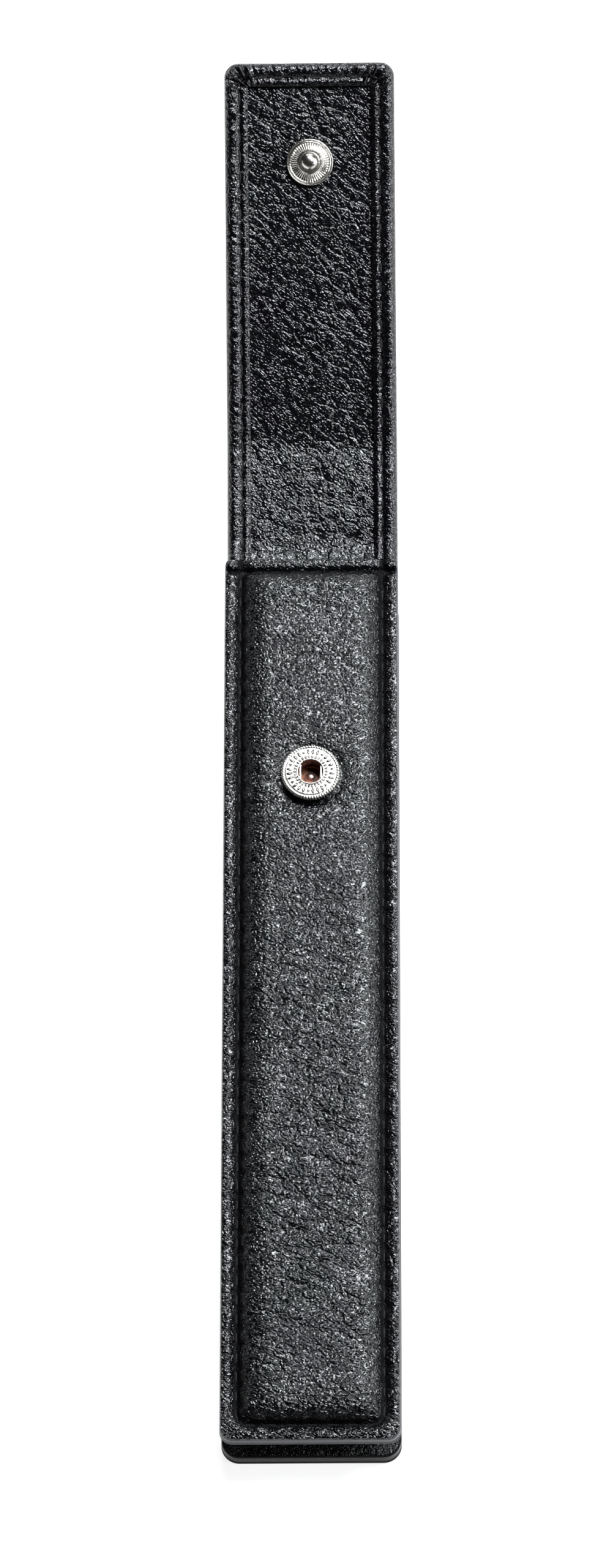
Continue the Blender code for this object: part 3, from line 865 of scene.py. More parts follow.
@dataclass(frozen=True)
class TwistedThread:
    """Black polyester sewing thread, three plies twisted and bonded, with a slight sheen."""

    name: str = "polyester_thread_twisted"
    colour: str = "#060607"
    ply: float = 0.16 * MM

    def material(self) -> bpy.types.Material:
        """Builds the thread's node tree."""
        material, tree, shader = new_material(self.name)
        leaned = mapping_node(tree, stored(tree, FLAT_PLACE), lean=math.radians(35.0))
        plies = add_node(
            tree,
            "ShaderNodeTexWave",
            {"Vector": leaned, "Scale": 0.05 / self.ply, "Distortion": 1.0, "Detail": 1.0},
            bands_direction="Y",
        ).outputs["Fac"]
        normal = bump_node(tree, plies, 0.06 * MM, 0.8)
        tree.links.new(normal, shader.inputs["Normal"])
        shader.inputs["Base Color"].default_value = linear(self.colour)
        shader.inputs["Roughness"].default_value = 0.5
        shader.inputs["Sheen Weight"].default_value = 0.2
        shader.inputs["Specular IOR Level"].default_value = 0.12
        return material


@dataclass(frozen=True)
class PlatedMetal:
    """Stamped brass with a plated finish, in random lighter and darker patches, with fine handling
    marks.
    """

    name: str
    colour: str
    worn_colour: str
    roughness: float = 0.2
    mark: float = 0.4 * MM
    dent: float = 0.05 * MM

    def material(self) -> bpy.types.Material:
        """Builds the metal's node tree."""
        material, tree, shader = new_material(self.name)
        cloud = noise_node(tree, own_place(tree), self.mark, 5.0)
        worn = range_node(tree, cloud, (0.52, 0.72))
        tint = ramp_node(tree, worn, self.colour, self.worn_colour)
        roughness = self.roughness * 0.7, self.roughness * 1.5
        rough = range_node(tree, cloud, (0.0, 1.0), roughness, "LINEAR")
        normal = bump_node(tree, cloud, self.dent, 1.0)
        tree.links.new(tint, shader.inputs["Base Color"])
        tree.links.new(rough, shader.inputs["Roughness"])
        tree.links.new(normal, shader.inputs["Normal"])
        shader.inputs["Metallic"].default_value = 1.0
        return material


@dataclass(frozen=True)
class HiddenLayer:
    """A plain inner layer of board that only shows where the case is taken apart."""

    name: str = "fibre_board_pressed"
    colour: str = "#8a7053"
    low_colour: str = "#4a3c2c"
    fibre: float = 0.3 * MM

    def material(self) -> bpy.types.Material:
        """Builds the layer's node tree."""
        material, tree, shader = new_material(self.name)
        fibres = noise_node(tree, own_place(tree), self.fibre, 4.0)
        tint = ramp_node(tree, fibres, self.low_colour, self.colour)
        tree.links.new(tint, shader.inputs["Base Color"])
        shader.inputs["Roughness"].default_value = 0.85
        return material


@dataclass
class Finishes:
    """Every finish of the case, built once."""

    nappa: bpy.types.Material = field(
        default_factory=GrainedLeather(
            "nappa_calf_sprayed",
            rough_from=SIZES.mouth,
            rough_to=SIZES.bottom * 0.4,
            calm=0.35,
            stretch=1.8,
            lean=math.radians(-12.0),
            cell_depth=0.09 * MM,
            groove=0.4,
            pebble_depth=0.09 * MM,
            crease_depth=0.12 * MM,
        ).material
    )
    # A darker, duller copy of the leather for the faces deep in the stitch channel: painted shade.
    channel: bpy.types.Material = field(
        default_factory=GrainedLeather(
            "nappa_calf_channel_shade", colour="#030304", roughness=0.5, gloss=0.1
        ).material
    )
    strap: bpy.types.Material = field(
        default_factory=GrainedLeather(
            "nappa_calf_turned", stretch=1.2, cell_depth=0.04 * MM, pebble_depth=0.045 * MM
        ).material
    )
    lining: bpy.types.Material = field(
        default_factory=GrainedLeather(
            "sheepskin_lining_glazed",
            colour="#09090f",
            cell=0.44 * MM,
            cell_depth=0.044 * MM,
            crease=2.0 * MM,
            crease_depth=0.1 * MM,
            pebble=1.0 * MM,
            pebble_depth=0.045 * MM,
            stretch=1.5,
            lean=math.radians(-35.0),
            roughness=0.13,
        ).material
    )
    gusset: bpy.types.Material = field(
        default_factory=GrainedLeather(
            "sheepskin_gusset_skived", colour="#08080b", cell=0.3 * MM, roughness=0.24
        ).material
    )
    paint: bpy.types.Material = field(default_factory=EdgePaint().material)
    # The same edge paint made darker for the back's edge, which lies low in shade: painted shade.
    shaded_paint: bpy.types.Material = field(
        default_factory=EdgePaint(
            "edge_paint_back_shaded", "#0b0b0f", "#060608", gloss=0.05
        ).material
    )
    # Darker metal for the patches under the marks on the socket: painted shade for recesses that
    # are not cut.
    recess_shade: bpy.types.Material = field(
        default_factory=PlatedMetal(
            "nickel_recess_shaded", "#1a1817", "#0e0d0c", roughness=0.5
        ).material
    )
    thread: bpy.types.Material = field(default_factory=TwistedThread().material)
    nickel: bpy.types.Material = field(
        default_factory=PlatedMetal("nickel_plate_tumbled", "#c2bfba", "#96918a").material
    )
    # The barrel's brass, darkened to brown for the bore: partly its own colour, partly painted
    # shade deep in the bore.
    bore_brass_shaded: bpy.types.Material = field(
        default_factory=PlatedMetal(
            "brass_barrel_shaded", "#664639", "#34231c", roughness=0.42
        ).material
    )
    rivet: bpy.types.Material = field(
        default_factory=PlatedMetal(
            "rivet_plate_worn", "#ecd0c6", "#c49c8c", roughness=0.3
        ).material
    )
    spring: bpy.types.Material = field(
        default_factory=PlatedMetal(
            "spring_wire_drawn", "#e2e2e2", "#b8b8b8", roughness=0.12
        ).material
    )
    hidden_lining: bpy.types.Material = field(
        default_factory=GrainedLeather("sheepskin_lining_inner", laid_flat=True).material
    )
    board: bpy.types.Material = field(default_factory=HiddenLayer().material)


def dress(obj: bpy.types.Object, *materials: bpy.types.Material) -> None:
    """Gives a piece its materials, in the order of its faces' numbers."""
    obj.data.materials.clear()
    for material in materials:
        obj.data.materials.append(material)


def hand_over(
    obj: bpy.types.Object, body: Body | None, stands_for: Sequence[str] = ()
) -> None:
    """Tells the frame what a finished piece is.

    Args:
        obj: The piece.
        body: What it rides on, or None to leave it unattached.
        stands_for: The nodes that it replaces.
    """
    if body is not None:
        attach(obj, body.value)
    if stands_for:
        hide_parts(*stands_for)
    LOG.info("%s: %d faces", obj.name, len(obj.data.polygons))


# ---------------------------------------------------------------- turned edges


TURNED_EDGE = (
    [(5.0, 0.0), (1.2, 0.0)]
    + arc_of((1.2, 1.2), 1.2, -90.0, -180.0, 6)
    + arc_of((1.2, 2.1), 1.2, 180.0, 90.0, 8)
    + [(2.65, 3.28), (4.0, 2.98)]
    + arc_of((4.0, 2.83), 0.15, 75.0, 0.0, 3)
    + [(4.15, 2.5), (1.2, 2.5), (0.9, 2.2), (0.9, 1.2), (1.2, 0.9), (5.0, 0.9)]
)
PANEL_INSET = 5.0 * MM


@dataclass(frozen=True)
class TurnedEdge:
    """How the leather wrinkles where it is turned over the edge and sewn down."""

    seam: Seam = field(default_factory=Seam)
    tick: float = 0.95 * MM
    tick_depth: float = 0.26 * MM
    pleats: int = 5
    pleat_depth: float = 0.34 * MM
    pleat_spread: float = 3.0 * MM
    groove: float = 0.28 * MM
    dip: float = 0.14 * MM
    roll: float = 0.22 * MM

    def height(
        self, run: Array, inset: Array, across: Array, up: Array, corner: Array | float = 0.0
    ) -> Array:
        """Returns how far the leather stands above its plain profile.

        Args:
            run: Distance along the edge.
            inset: Distance in from it.
            across: Where the point is across the strip.
            up: The plain profile's height.
            corner: Share of the way round a corner, from 0 to 1, and 0 on straight runs.
        """
        on_top = smoothstep((up - 1.2 * MM) / (1.8 * MM)) * smoothstep((4.6 * MM - inset) / MM)
        drawn = np.column_stack([run / self.tick, inset / (4.5 * MM), across / (8 * MM)])
        tick = np.abs(crumple(drawn, 1.0)) * 1.6 - 0.4
        slow = crumple(np.column_stack([run, inset, across]), 5 * MM, 3.0)
        seam = bump(inset - SIZES.seam_inset, 0.3 * MM)
        outside = 1.0 - 0.75 * smoothstep((inset - SIZES.seam_inset) / (0.5 * MM))
        ripple = tick * self.tick_depth * outside * (0.75 + 0.6 * slow)
        ripple = ripple * (1.0 - 0.7 * np.sin(math.pi * corner))
        reach = 1.0 - 0.85 * smoothstep((inset - 3.4 * MM) / (0.8 * MM))
        pleats = np.sin(math.pi * corner) ** 0.7 * self.pleat_depth * reach
        wander = 0.12 * np.sin(9.0 * corner + 1.0)
        fan = np.cos(2 * math.pi * (corner * self.pleats + wander))
        fan = fan * smoothstep(inset / (0.9 * MM))
        dips = seam * (self.groove + self.dip * self.seam.holes(run))
        roll = self.roll * bump(inset - 1.35 * MM, 0.8 * MM)
        roll += 0.12 * MM * bump(inset - 3.5 * MM, 0.4 * MM)
        return on_top * (roll + ripple + pleats * fan - dips)

    def wrinkle(self, obj: bpy.types.Object, run: Array, corner: Array | float = 0.0) -> None:
        """Marks a turned edge for its finish, and wrinkles it.

        Args:
            obj: The piece, still flat.
            run: At each point (distance along the turned edge, distance in from it, 0).
            corner: Share of the way round a corner, from 0 to 1, and 0 on straight runs.
        """
        flat = corners_of(obj)
        on_top = smoothstep((flat[:, 2] - 0.6 * MM) / (1.6 * MM))
        inside = smoothstep((4.4 * MM - run[:, 1]) / MM)
        mark_flat(obj, on_top * inside, run)
        flat[:, 2] += self.height(run[:, 0], run[:, 1], flat[:, 0], flat[:, 2], corner)
        move_corners(obj, flat)


EDGE = TurnedEdge()


def sweep(
    name: str, route: Route, profile: Array, open_ys: Array | None = None
) -> tuple[bpy.types.Object, Array, Array]:
    """Sweeps a profile round a route.

    Args:
        name: The new object's name.
        route: The route.
        profile: Rows of (inset, height).
        open_ys: Where the route starts and ends for each row of the profile.

    Returns:
        The swept strip, its (run, inset, 0) at each vertex, and its share round a corner.
    """
    opens = [None] * len(profile) if open_ys is None else open_ys
    plans = [route.points(inset, start) for (inset, _), start in zip(profile, opens)]
    places = np.array(
        [np.column_stack([plan, np.full(len(plan), up)]) for plan, (_, up) in zip(plans, profile)]
    )
    swept = lay_grid(name, places)
    length = route.lengths(SIZES.seam_inset)
    length = np.minimum(length, length[-1] - length)
    columns = np.broadcast_to(length, places.shape[:2])
    insets = np.broadcast_to(profile[:, :1], places.shape[:2])
    middle = abs(route.closed_y - route.open_y) - 0.5 * (SIZES.seam_inset + route.corner)
    spread = EDGE.pleat_spread
    share = np.clip((length - middle + spread) / (2 * spread), 0.0, 1.0)
    corner = np.broadcast_to(np.where(share < 1.0, share, 0.0), places.shape[:2])
    stacked = np.stack([columns, insets, corner], axis=2)
    order = lay_order(*places.shape[:2])
    ranked = stacked[order]
    return swept, np.column_stack([ranked[:, :2], np.zeros(len(ranked))]), ranked[:, 2]


@dataclass
class TurnedSkin:
    """Leather on a plan with three closed sides: its rim, swept, between two panels."""

    name: str
    route: Route
    profile: Array
    turned: bool = True

    def build(self) -> bpy.types.Object:
        """Builds the skin flat, closed and marked for its finish."""
        rim, run, corner = sweep(self.name, self.route, self.profile)
        if self.turned:
            EDGE.wrinkle(rim, run, corner)
        else:
            mark_flat(rim, 0.0, run)
        panels = [self._panel(up) for up in (self.profile[0, 1], self.profile[-1, 1])]
        skin = join(self.name, [rim, *panels])
        close_up(skin)
        return skin

    def _panel(self, up: float) -> bpy.types.Object:
        """One face of the leather inside its rim."""
        route = self.route
        half = route.half_width - PANEL_INSET
        ends = route.open_y, route.closed_y - route.way * PANEL_INSET
        xs = np.linspace(-half, half, route.across)
        ys = np.linspace(*ends, route.sides)
        places = np.array([[(x, y, up) for x in xs] for y in ys])
        panel = lay_grid(f"{self.name}_face", places)
        mark_flat(panel)
        return panel


# ---------------------------------------------------------------- back, spine and flap


@dataclass
class FoldingBack:
    """The one strip of leather that is the pocket's back, the spine and the flap."""

    finishes: Finishes
    seam: Seam = field(default_factory=Seam)
    spacing: float = 0.3 * MM
    profile_step: float = 0.28
    sharp_over: float = 55.0

    @property
    def thread_faces(self) -> tuple[tuple[float, float, str], ...]:
        """Height, facing and name ending of the thread on the inner and the outer face."""
        return (SIZES.hem_top - 0.3 * MM, 1.0, ""), (0.06 * MM, -1.0, "_outside")

    @property
    def hem_start(self) -> float:
        """Where the back's turned edges start, inside the pocket's mouth."""
        return SIZES.mouth - SIZES.hem_below_mouth

    @property
    def flap_route(self) -> Route:
        """The turned edge round the flap, from the middle of the spine."""
        return Route(
            SIZES.half_width, STRIP.middle, STRIP.end, SIZES.flap_corner, self.spacing, 36
        )

    def build(self) -> None:
        """Builds the three leathers and their stitches."""
        self.build_flap()
        self.build_fold()
        self.build_pocket_back()

    def build_flap(self) -> None:
        """The flap and the upper half of the spine, with their edges turned over."""
        profile = even_out(TURNED_EDGE, self.profile_step) * MM
        shell = TurnedSkin("flap_shell", self.flap_route, profile).build()
        STRIP.lay_piece(shell)
        shade(shell, self.sharp_over)
        dress(shell, self.finishes.strap)
        STRIP.bend_upper(shell)
        hand_over(shell, None, ("flap_leather", "spine_leather"))
        for height, facing, face in self.thread_faces:
            self._sew_flap(f"flap_stitches{face}", height, facing)

    def _sew_flap(self, name: str, height: float, facing: float) -> None:
        """Stitches round the flap at a height, on one of its faces."""
        stitches = self._sew(name, self.flap_route.points(SIZES.seam_inset), height, facing)
        STRIP.bend_upper(stitches)
        stands_for = ("flap_seam_thread", "spine_thread_left", "spine_thread_right")
        hand_over(stitches, None, stands_for)

    def _sew(self, name: str, plan: Array, height: float, facing: float) -> bpy.types.Object:
        """Stitches along a line of the flat strip, laid over the folds."""
        flat = np.column_stack([plan, np.full(len(plan), height)])
        above = flat + np.array([0.0, 0.0, facing * MM])
        path = STRIP.lay(flat)
        return self.seam.sew(name, path, STRIP.lay(above) - path, self.finishes.thread)

    def build_fold(self) -> None:
        """The strap from inside the mouth to the middle of the spine, both edges turned."""
        profile = even_out(TURNED_EDGE, self.profile_step) * MM
        rows = round((STRIP.middle - self.hem_start) / self.spacing)
        ys = np.linspace(self.hem_start, STRIP.middle, rows + 1)
        half = SIZES.half_width
        face = np.linspace(PANEL_INSET - half, half - PANEL_INSET, 68)[1:-1]
        left = np.column_stack([profile[:, 0] - half, profile[:, 1], profile[:, 0]])
        inner = np.column_stack([face, np.full(len(face), SIZES.leather), half - np.abs(face)])
        right = left[::-1] * np.array([-1.0, 1.0, 1.0])
        outer = np.column_stack([face[::-1], np.zeros(len(face)), half - np.abs(face)])
        loop = np.concatenate([left, inner, right, outer, left[:1]])
        level = np.ones(len(loop))
        places = np.array([np.column_stack([loop[:, 0], y * level, loop[:, 1]]) for y in ys])
        strap = lay_grid("back_fold", places)
        order = lay_order(*places.shape[:2])
        run = np.stack(
            [
                np.abs(places[..., 1] - STRIP.middle),
                np.broadcast_to(loop[:, 2], places.shape[:2]),
                np.zeros(places.shape[:2]),
            ],
            axis=2,
        )[order]
        EDGE.wrinkle(strap, run)
        close_up(strap)
        STRIP.lay_piece(strap)
        shade(strap, self.sharp_over)
        dress(strap, self.finishes.strap)
        STRIP.bend_lower(strap)
        hand_over(strap, None, ("back_leather", "spine_leather"))
        self._sew_fold()

    def _sew_fold(self) -> None:
        """Stitches along both turned edges, below the middle of the spine, on both faces."""
        across = SIZES.half_width - SIZES.seam_inset
        count = int((STRIP.middle - self.hem_start) / self.seam.pitch)
        ys = STRIP.middle - np.linspace(0.0, count * self.seam.pitch, count * 12 + 1)
        nodes = ("back_hem_thread_left", "back_hem_thread_right")
        for side, node in zip((-1.0, 1.0), nodes):
            plan = np.column_stack([np.full(len(ys), side * across), ys])
            for height, facing, face in self.thread_faces:
                name = f"{node.replace('thread', 'stitches')}{face}"
                stitches = self._sew(name, plan, height, facing)
                STRIP.bend_lower(stitches)
                hand_over(stitches, None, (node,))

    def build_pocket_back(self) -> None:
        """The flat back of the pocket, cut flush with the gusset and painted."""
        route = Route(
            SIZES.half_width, self.hem_start, SIZES.bottom, SIZES.back_corner, 0.7 * MM, 14
        )
        profile = even_out(
            [(5.0, 0.0), (3.2, 0.0), (2.65, 0.25), (2.1, 0.0), (0.3, 0.0)]
            + arc_of((0.3, 0.3), 0.3, -90.0, -180.0, 3)
            + [(0.0, 0.6), (0.3, 0.9), (5.0, 0.9)],
            0.5,
        ) * MM
        back = TurnedSkin("pocket_back", route, profile, turned=False).build()
        shade(back)
        dress(back, self.finishes.strap)
        hand_over(back, Body.POCKET, ("back_leather",))
        plan = route.points(SIZES.seam_inset)
        path = np.column_stack([plan, np.full(len(plan), 0.14 * MM)])
        down = np.array([0.0, 0.0, -1.0])
        stitches = self.seam.sew("back_stitches", path, down, self.finishes.thread)
        hand_over(stitches, Body.POCKET, ("back_seam_thread",))


@dataclass
class Linings:
    """The lining of the back and of the flap, wrinkled where the case folds."""

    finishes: Finishes
    half_width: float = 13.8 * MM
    thickness: float = 0.5 * MM
    spacing: float = 0.3 * MM
    fine_from: float = 60 * MM

    def build(self) -> None:
        """Builds the lining in two pieces that meet in the middle of the spine."""
        fine = self.fine_from
        hidden = np.linspace(SIZES.bottom + 4 * MM, fine, 60)[:-1]
        shown = np.linspace(fine, STRIP.middle, round((STRIP.middle - fine) / self.spacing))
        low = np.concatenate([hidden, shown])
        lower = self._piece("lining_lower", low)
        STRIP.bend_lower(lower)
        hand_over(lower, None, ("back_lining", "spine_lining"))
        end = STRIP.end - 1.4 * MM
        high = np.linspace(STRIP.middle, end, round((end - STRIP.middle) / self.spacing))
        upper = self._piece("lining_upper", high)
        STRIP.bend_upper(upper)
        hand_over(upper, None, ("flap_lining", "spine_lining"))

    def _piece(self, name: str, ys: Array) -> bpy.types.Object:
        """One length of lining, laid over its fold."""
        half = self.half_width
        xs = np.linspace(-half, half, round(2 * half / self.spacing))
        top = SIZES.lining_top
        places = np.array([[(x, y, top) for x in xs] for y in ys])
        lining = lay_grid(name, places)
        flat = corners_of(lining)
        flat[:, 2] += self.wrinkles(flat[:, 0], flat[:, 1])
        move_corners(lining, flat)
        apply_modifier(lining, "SOLIDIFY", thickness=self.thickness, offset=-1.0)
        close_up(lining)
        mark_flat(lining)
        STRIP.lay_piece(lining)
        shade(lining, 60.0)
        dress(lining, self.finishes.lining)
        return lining

    def wrinkles(self, across: Array, along: Array) -> Array:
        """Height of the lining over its plain face."""
        plan = np.column_stack([across, along, np.zeros(len(across))])
        open_half = SIZES.half_width - SIZES.hem_width - 0.1 * MM
        open_part = smoothstep((open_half - np.abs(across)) / MM)
        fold = smoothstep((along - 81 * MM) / (5 * MM)) * smoothstep((109 * MM - along) / (8 * MM))
        pebble = crumple(plan, 1.3 * MM, 1.0) * 0.6 + crumple(plan, 2.7 * MM, 2.0)
        turned = Matrix.Rotation(math.radians(-38.0), 3, "Z")
        leaned = plan @ np.array(turned).T * np.array([1.0, 0.3, 1.0])
        crease = 1.0 - np.clip(np.abs(crumple(leaned, 2.6 * MM, 4.0)) * 5.0, 0.0, 1.0)
        fine = 1.0 - np.clip(np.abs(crumple(leaned, 1.4 * MM, 6.0)) * 5.0, 0.0, 1.0)
        flap = smoothstep((along - 106 * MM) / (6 * MM))
        where = 0.4 + 0.6 * smoothstep(crumple(plan, 14 * MM, 8.0) + 0.5)
        creased = -(0.18 * crease**2 + 0.07 * fine**2) * flap * where
        return open_part * MM * (0.17 * pebble * (0.15 + fold) + creased)


# ---------------------------------------------------------------- padded front


@dataclass
class PaddedFront:
    """The pocket's front: soft leather drawn over a pad and sewn down all round."""

    finishes: Finishes
    seam: Seam = field(default_factory=Seam)
    channel: float = 0.8 * MM
    channel_width: float = 0.62 * MM
    seam_corner: float = 4.85 * MM
    mouth_seam: float = 2.65 * MM
    foot: float = 11.85 * MM
    edge_round: float = 0.32 * MM
    pad_corner: float = 4.4 * MM
    side_reach: float = 5.6
    end_reach: float = 3.6
    deepest: float = 0.8 * MM
    mouth_roll: float = 0.8 * MM
    sunk_share: float = 0.42
    cover_step: float = 0.9 * MM
    cover_scale: float = 20.0
    cover_slack: float = 0.05
    pressure: float = 4.0
    frames: int = 20
    snap_clear: float = 4.6 * MM
    broad_passes: int = 24
    most_slack: float = 0.14 * MM

    def plan_points(self) -> Array:
        """Rows and columns over the front, closer together near its edges."""
        bottom, mouth = SIZES.bottom, SIZES.mouth
        near = np.concatenate([np.linspace(0.0, 0.4, 5), np.linspace(0.6, 6.0, 28)]) * MM
        far = np.linspace(bottom + 6.3 * MM, mouth - 6.3 * MM, 430)
        ys = np.concatenate([bottom + near, far, mouth - near[::-1]])
        side = np.concatenate([np.linspace(0.0, 0.4, 4), np.linspace(0.62, 4.8, 20)]) * MM
        middle = np.linspace(5.15 * MM - SIZES.half_width, SIZES.half_width - 5.15 * MM, 56)
        xs = np.concatenate([side - SIZES.half_width, middle, SIZES.half_width - side[::-1]])
        reach = self._reach(ys)
        shares = reach / SIZES.half_width
        return np.array([[(x * r, y, 0.0) for x in xs] for y, r in zip(ys, shares)])

    def _reach(self, ys: Array) -> Array:
        """Half the front's width at each height of the plan, less near its rounded corners."""
        low, high = ys - SIZES.bottom, SIZES.mouth - ys
        reach = np.full(len(ys), SIZES.half_width)
        for gap, corner in ((low, SIZES.front_corner), (high, 1.6 * MM)):
            inside = np.clip(corner - gap, 0.0, corner)
            reach = np.minimum(
                reach, SIZES.half_width - corner + np.sqrt(np.maximum(corner**2 - inside**2, 0.0))
            )
        return reach

    def _rounded(self, first: Array, second: Array, radius: float) -> Array:
        """Distance in from two edges that meet in a rounded corner."""
        near = (first < radius) & (second < radius)
        round_in = radius - np.hypot(radius - first, radius - second)
        return np.where(near, round_in, np.minimum(first, second))

    def _rise(self, inset: Array, reach: float) -> Array:
        """How the pad rises from a seam, by the distance in and its reach in millimetres."""
        return 1.0 - (1.0 - np.clip((inset - 2.75 * MM) / (reach * MM), 0.0, 1.0)) ** 2.6

    def height(self, across: Array, along: Array, slack: Array | float = 0.0) -> Array:
        """Height of the front's face.

        Args:
            across: Where the points are across the case.
            along: Where they are along it.
            slack: How far the sewn pad stands off its plain crown there.
        """
        side = SIZES.half_width - np.abs(across)
        low, high = along - SIZES.bottom, SIZES.mouth - along
        edge = self._rounded(side, np.minimum(low, high), SIZES.front_corner)
        sewn = self._rounded(side, low, self.seam_corner)
        pad = self._rounded(sewn, high, self.pad_corner)
        crown = self._rise(low, self.end_reach) * self._rise(high, self.end_reach)
        crown = crown * self._rise(side, self.side_reach)
        plan = np.column_stack([across, along, np.zeros(len(across))])
        slow = crumple(plan, 9 * MM, 1.0)
        wander = 0.12 * MM * crumple(plan, 4 * MM, 2.0)

        holes = self.seam.holes(np.where(low < 5 * MM, across, along))
        channel = bump(sewn - SIZES.seam_inset + wander * 0.4, self.channel_width)
        scallop = bump(sewn - 3.5 * MM, 0.9 * MM) * (0.35 + 0.65 * holes)
        rim_scallop = bump(sewn - 1.7 * MM, 0.7 * MM) * (0.3 + 0.7 * holes)
        rim = bump(sewn - 1.15 * MM, 0.7 * MM)
        groove = -self.channel * channel * (0.85 + 0.25 * holes)
        groove += -0.52 * MM * scallop - 0.24 * MM * rim_scallop + 0.14 * MM * rim

        mouth_seam = bump(self.mouth_run(across, along), 0.42 * MM)
        groove -= 0.68 * MM * mouth_seam * (0.7 + 0.3 * self.seam.holes(across))
        groove = np.maximum(groove, -self.deepest)
        lip = 0.38 * MM * smoothstep(high / (0.7 * MM))
        lip = lip * smoothstep((2.5 * MM - high) / (0.8 * MM))
        rolled = np.clip(1.0 - high / self.mouth_roll, 0.0, 1.0)
        lip -= self.mouth_roll * (1.0 - np.sqrt(np.maximum(1.0 - rolled**2, 0.0)))

        gathers = np.column_stack([along / (0.9 * MM), sewn / (2.4 * MM), across / (9 * MM)])
        drawn = crumple(gathers, 1.0, 7.0) * 0.06 * MM * smoothstep((4.2 * MM - sewn) / (2 * MM))
        rounded = np.clip(1.0 - edge / self.edge_round, 0.0, 1.0)
        turned = self.edge_round * (1.0 - np.sqrt(np.maximum(1.0 - rounded**2, 0.0)))
        face = SIZES.rim + SIZES.crown_rise * crown * (0.985 + 0.02 * slow)
        return face + groove + lip + drawn + slack * smoothstep((pad - 3 * MM) / (3 * MM)) - turned

    def mouth_run(self, across: Array, along: Array) -> Array:
        """Distance from the uneven line on which the mouth's turned edge is sewn down."""
        plan = np.column_stack([across, along, np.zeros(len(across))])
        uneven = 0.34 * crumple(plan, 2.0 * MM, 5.0) + 0.32 * crumple(plan, 7 * MM, 5.5)
        return SIZES.mouth - along - self.mouth_seam + MM * uneven

    def creases(self, across: Array, along: Array) -> Array:
        """Shallow creases that run in from the stitches, more of them in the lower half."""
        plan = np.column_stack([across, along, np.zeros(len(across))])
        lower = 0.25 + 0.75 * smoothstep((20 * MM - along) / (60 * MM))
        leaned = plan @ np.array(Matrix.Rotation(math.radians(18.0), 3, "Z")).T
        long_way = np.array([0.22, 1.0, 1.0])
        first = 1.0 - np.clip(np.abs(crumple(leaned * long_way, 2.2 * MM, 11.0)) * 4.5, 0.0, 1.0)
        second = 1.0 - np.clip(np.abs(crumple(plan * long_way, 1.5 * MM, 12.0)) * 4.5, 0.0, 1.0)
        where = smoothstep(crumple(plan, 11 * MM, 13.0) + 0.55)
        swell = 0.07 * crumple(plan * np.array([0.5, 1.0, 1.0]), 5 * MM, 14.0)
        return MM * (swell - (0.2 * first**2 + 0.11 * second**2) * lower * where)

    def settled(self, across: Array, along: Array) -> Array:
        """How the cover settles over its pad: cut a little too large, sewn down and blown up.

        Args:
            across: Where the points are across the case.
            along: Where they are along it.

        Returns:
            How far the cover stands off its plain crown at each point.
        """
        half = SIZES.half_width - SIZES.seam_inset
        low, high = SIZES.bottom + SIZES.seam_inset, SIZES.mouth - self.mouth_seam
        xs = np.linspace(-half, half, round(2 * half / self.cover_step))
        ys = np.linspace(low, high, round((high - low) / self.cover_step))
        spread_x, spread_y = np.meshgrid(xs, ys)
        up = np.zeros_like(spread_x)
        places = np.stack([spread_x, spread_y, up], axis=2) * self.cover_scale
        cover = lay_grid("pad_cover_loose", places)
        held = (np.abs(spread_x) > half - 0.1 * MM) | (spread_y < low + 0.1 * MM)
        held |= spread_y > high - 0.1 * MM
        held |= np.hypot(spread_x, spread_y - SIZES.snap) < self.snap_clear
        order = lay_order(*up.shape)
        self._blow(cover, np.flatnonzero(held[order]))
        up[order] = corners_of(cover)[:, 2] / self.cover_scale
        bpy.data.objects.remove(cover)
        return self._read(xs, ys, up, across, along)

    def _blow(self, cover: bpy.types.Object, held: Array) -> None:
        """Runs the cover's cloth simulation and keeps its last shape."""
        group = cover.vertex_groups.new(name="sewn_down")
        group.add([int(i) for i in held], 1.0, "REPLACE")
        modifier = cover.modifiers.new("cloth", "CLOTH")
        cloth = modifier.settings
        cloth.quality = 6
        cloth.vertex_group_mass = group.name
        cloth.use_pressure = True
        cloth.uniform_pressure_force = self.pressure
        cloth.shrink_min = -self.cover_slack
        cloth.bending_stiffness = 0.8
        cloth.effector_weights.gravity = 0.0
        for frame_number in range(1, self.frames + 1):
            bpy.context.scene.frame_set(frame_number)
        select_only(cover)
        bpy.ops.object.modifier_apply(modifier=modifier.name)
        bpy.context.scene.frame_set(1)

    def _read(self, xs: Array, ys: Array, up: Array, across: Array, along: Array) -> Array:
        """The settled cover's unevenness at the points, less its broad bulge and kept small."""
        broad = up.copy()
        for _ in range(self.broad_passes):
            broad[1:-1] = (broad[:-2] + 2 * broad[1:-1] + broad[2:]) / 4
        uneven = up - broad
        uneven *= self.most_slack / max(np.quantile(np.abs(uneven), 0.98), 1e-6)
        uneven = np.clip(uneven, -self.most_slack, self.most_slack)
        column = np.clip(np.interp(across, xs, np.arange(len(xs))), 0, len(xs) - 1.001)
        row = np.clip(np.interp(along, ys, np.arange(len(ys))), 0, len(ys) - 1.001)
        i, j = row.astype(int), column.astype(int)
        u, v = row - i, column - j
        near = uneven[i, j] * (1 - v) + uneven[i, j + 1] * v
        far = uneven[i + 1, j] * (1 - v) + uneven[i + 1, j + 1] * v
        return near * (1 - u) + far * u

    def seat(self, across: Array, along: Array) -> Array:
        """How the leather is pressed round the snap."""
        reach = np.hypot(across, along - SIZES.snap)
        punched = smoothstep((3.3 * MM - reach) / (0.4 * MM)) * (SIZES.crown_top - 12.6 * MM)
        pressed = 0.3 * MM * bump(reach - 5.35 * MM, 0.7 * MM)
        return 0.12 * MM * smoothstep((4.9 * MM - reach) / (0.5 * MM)) - pressed - punched

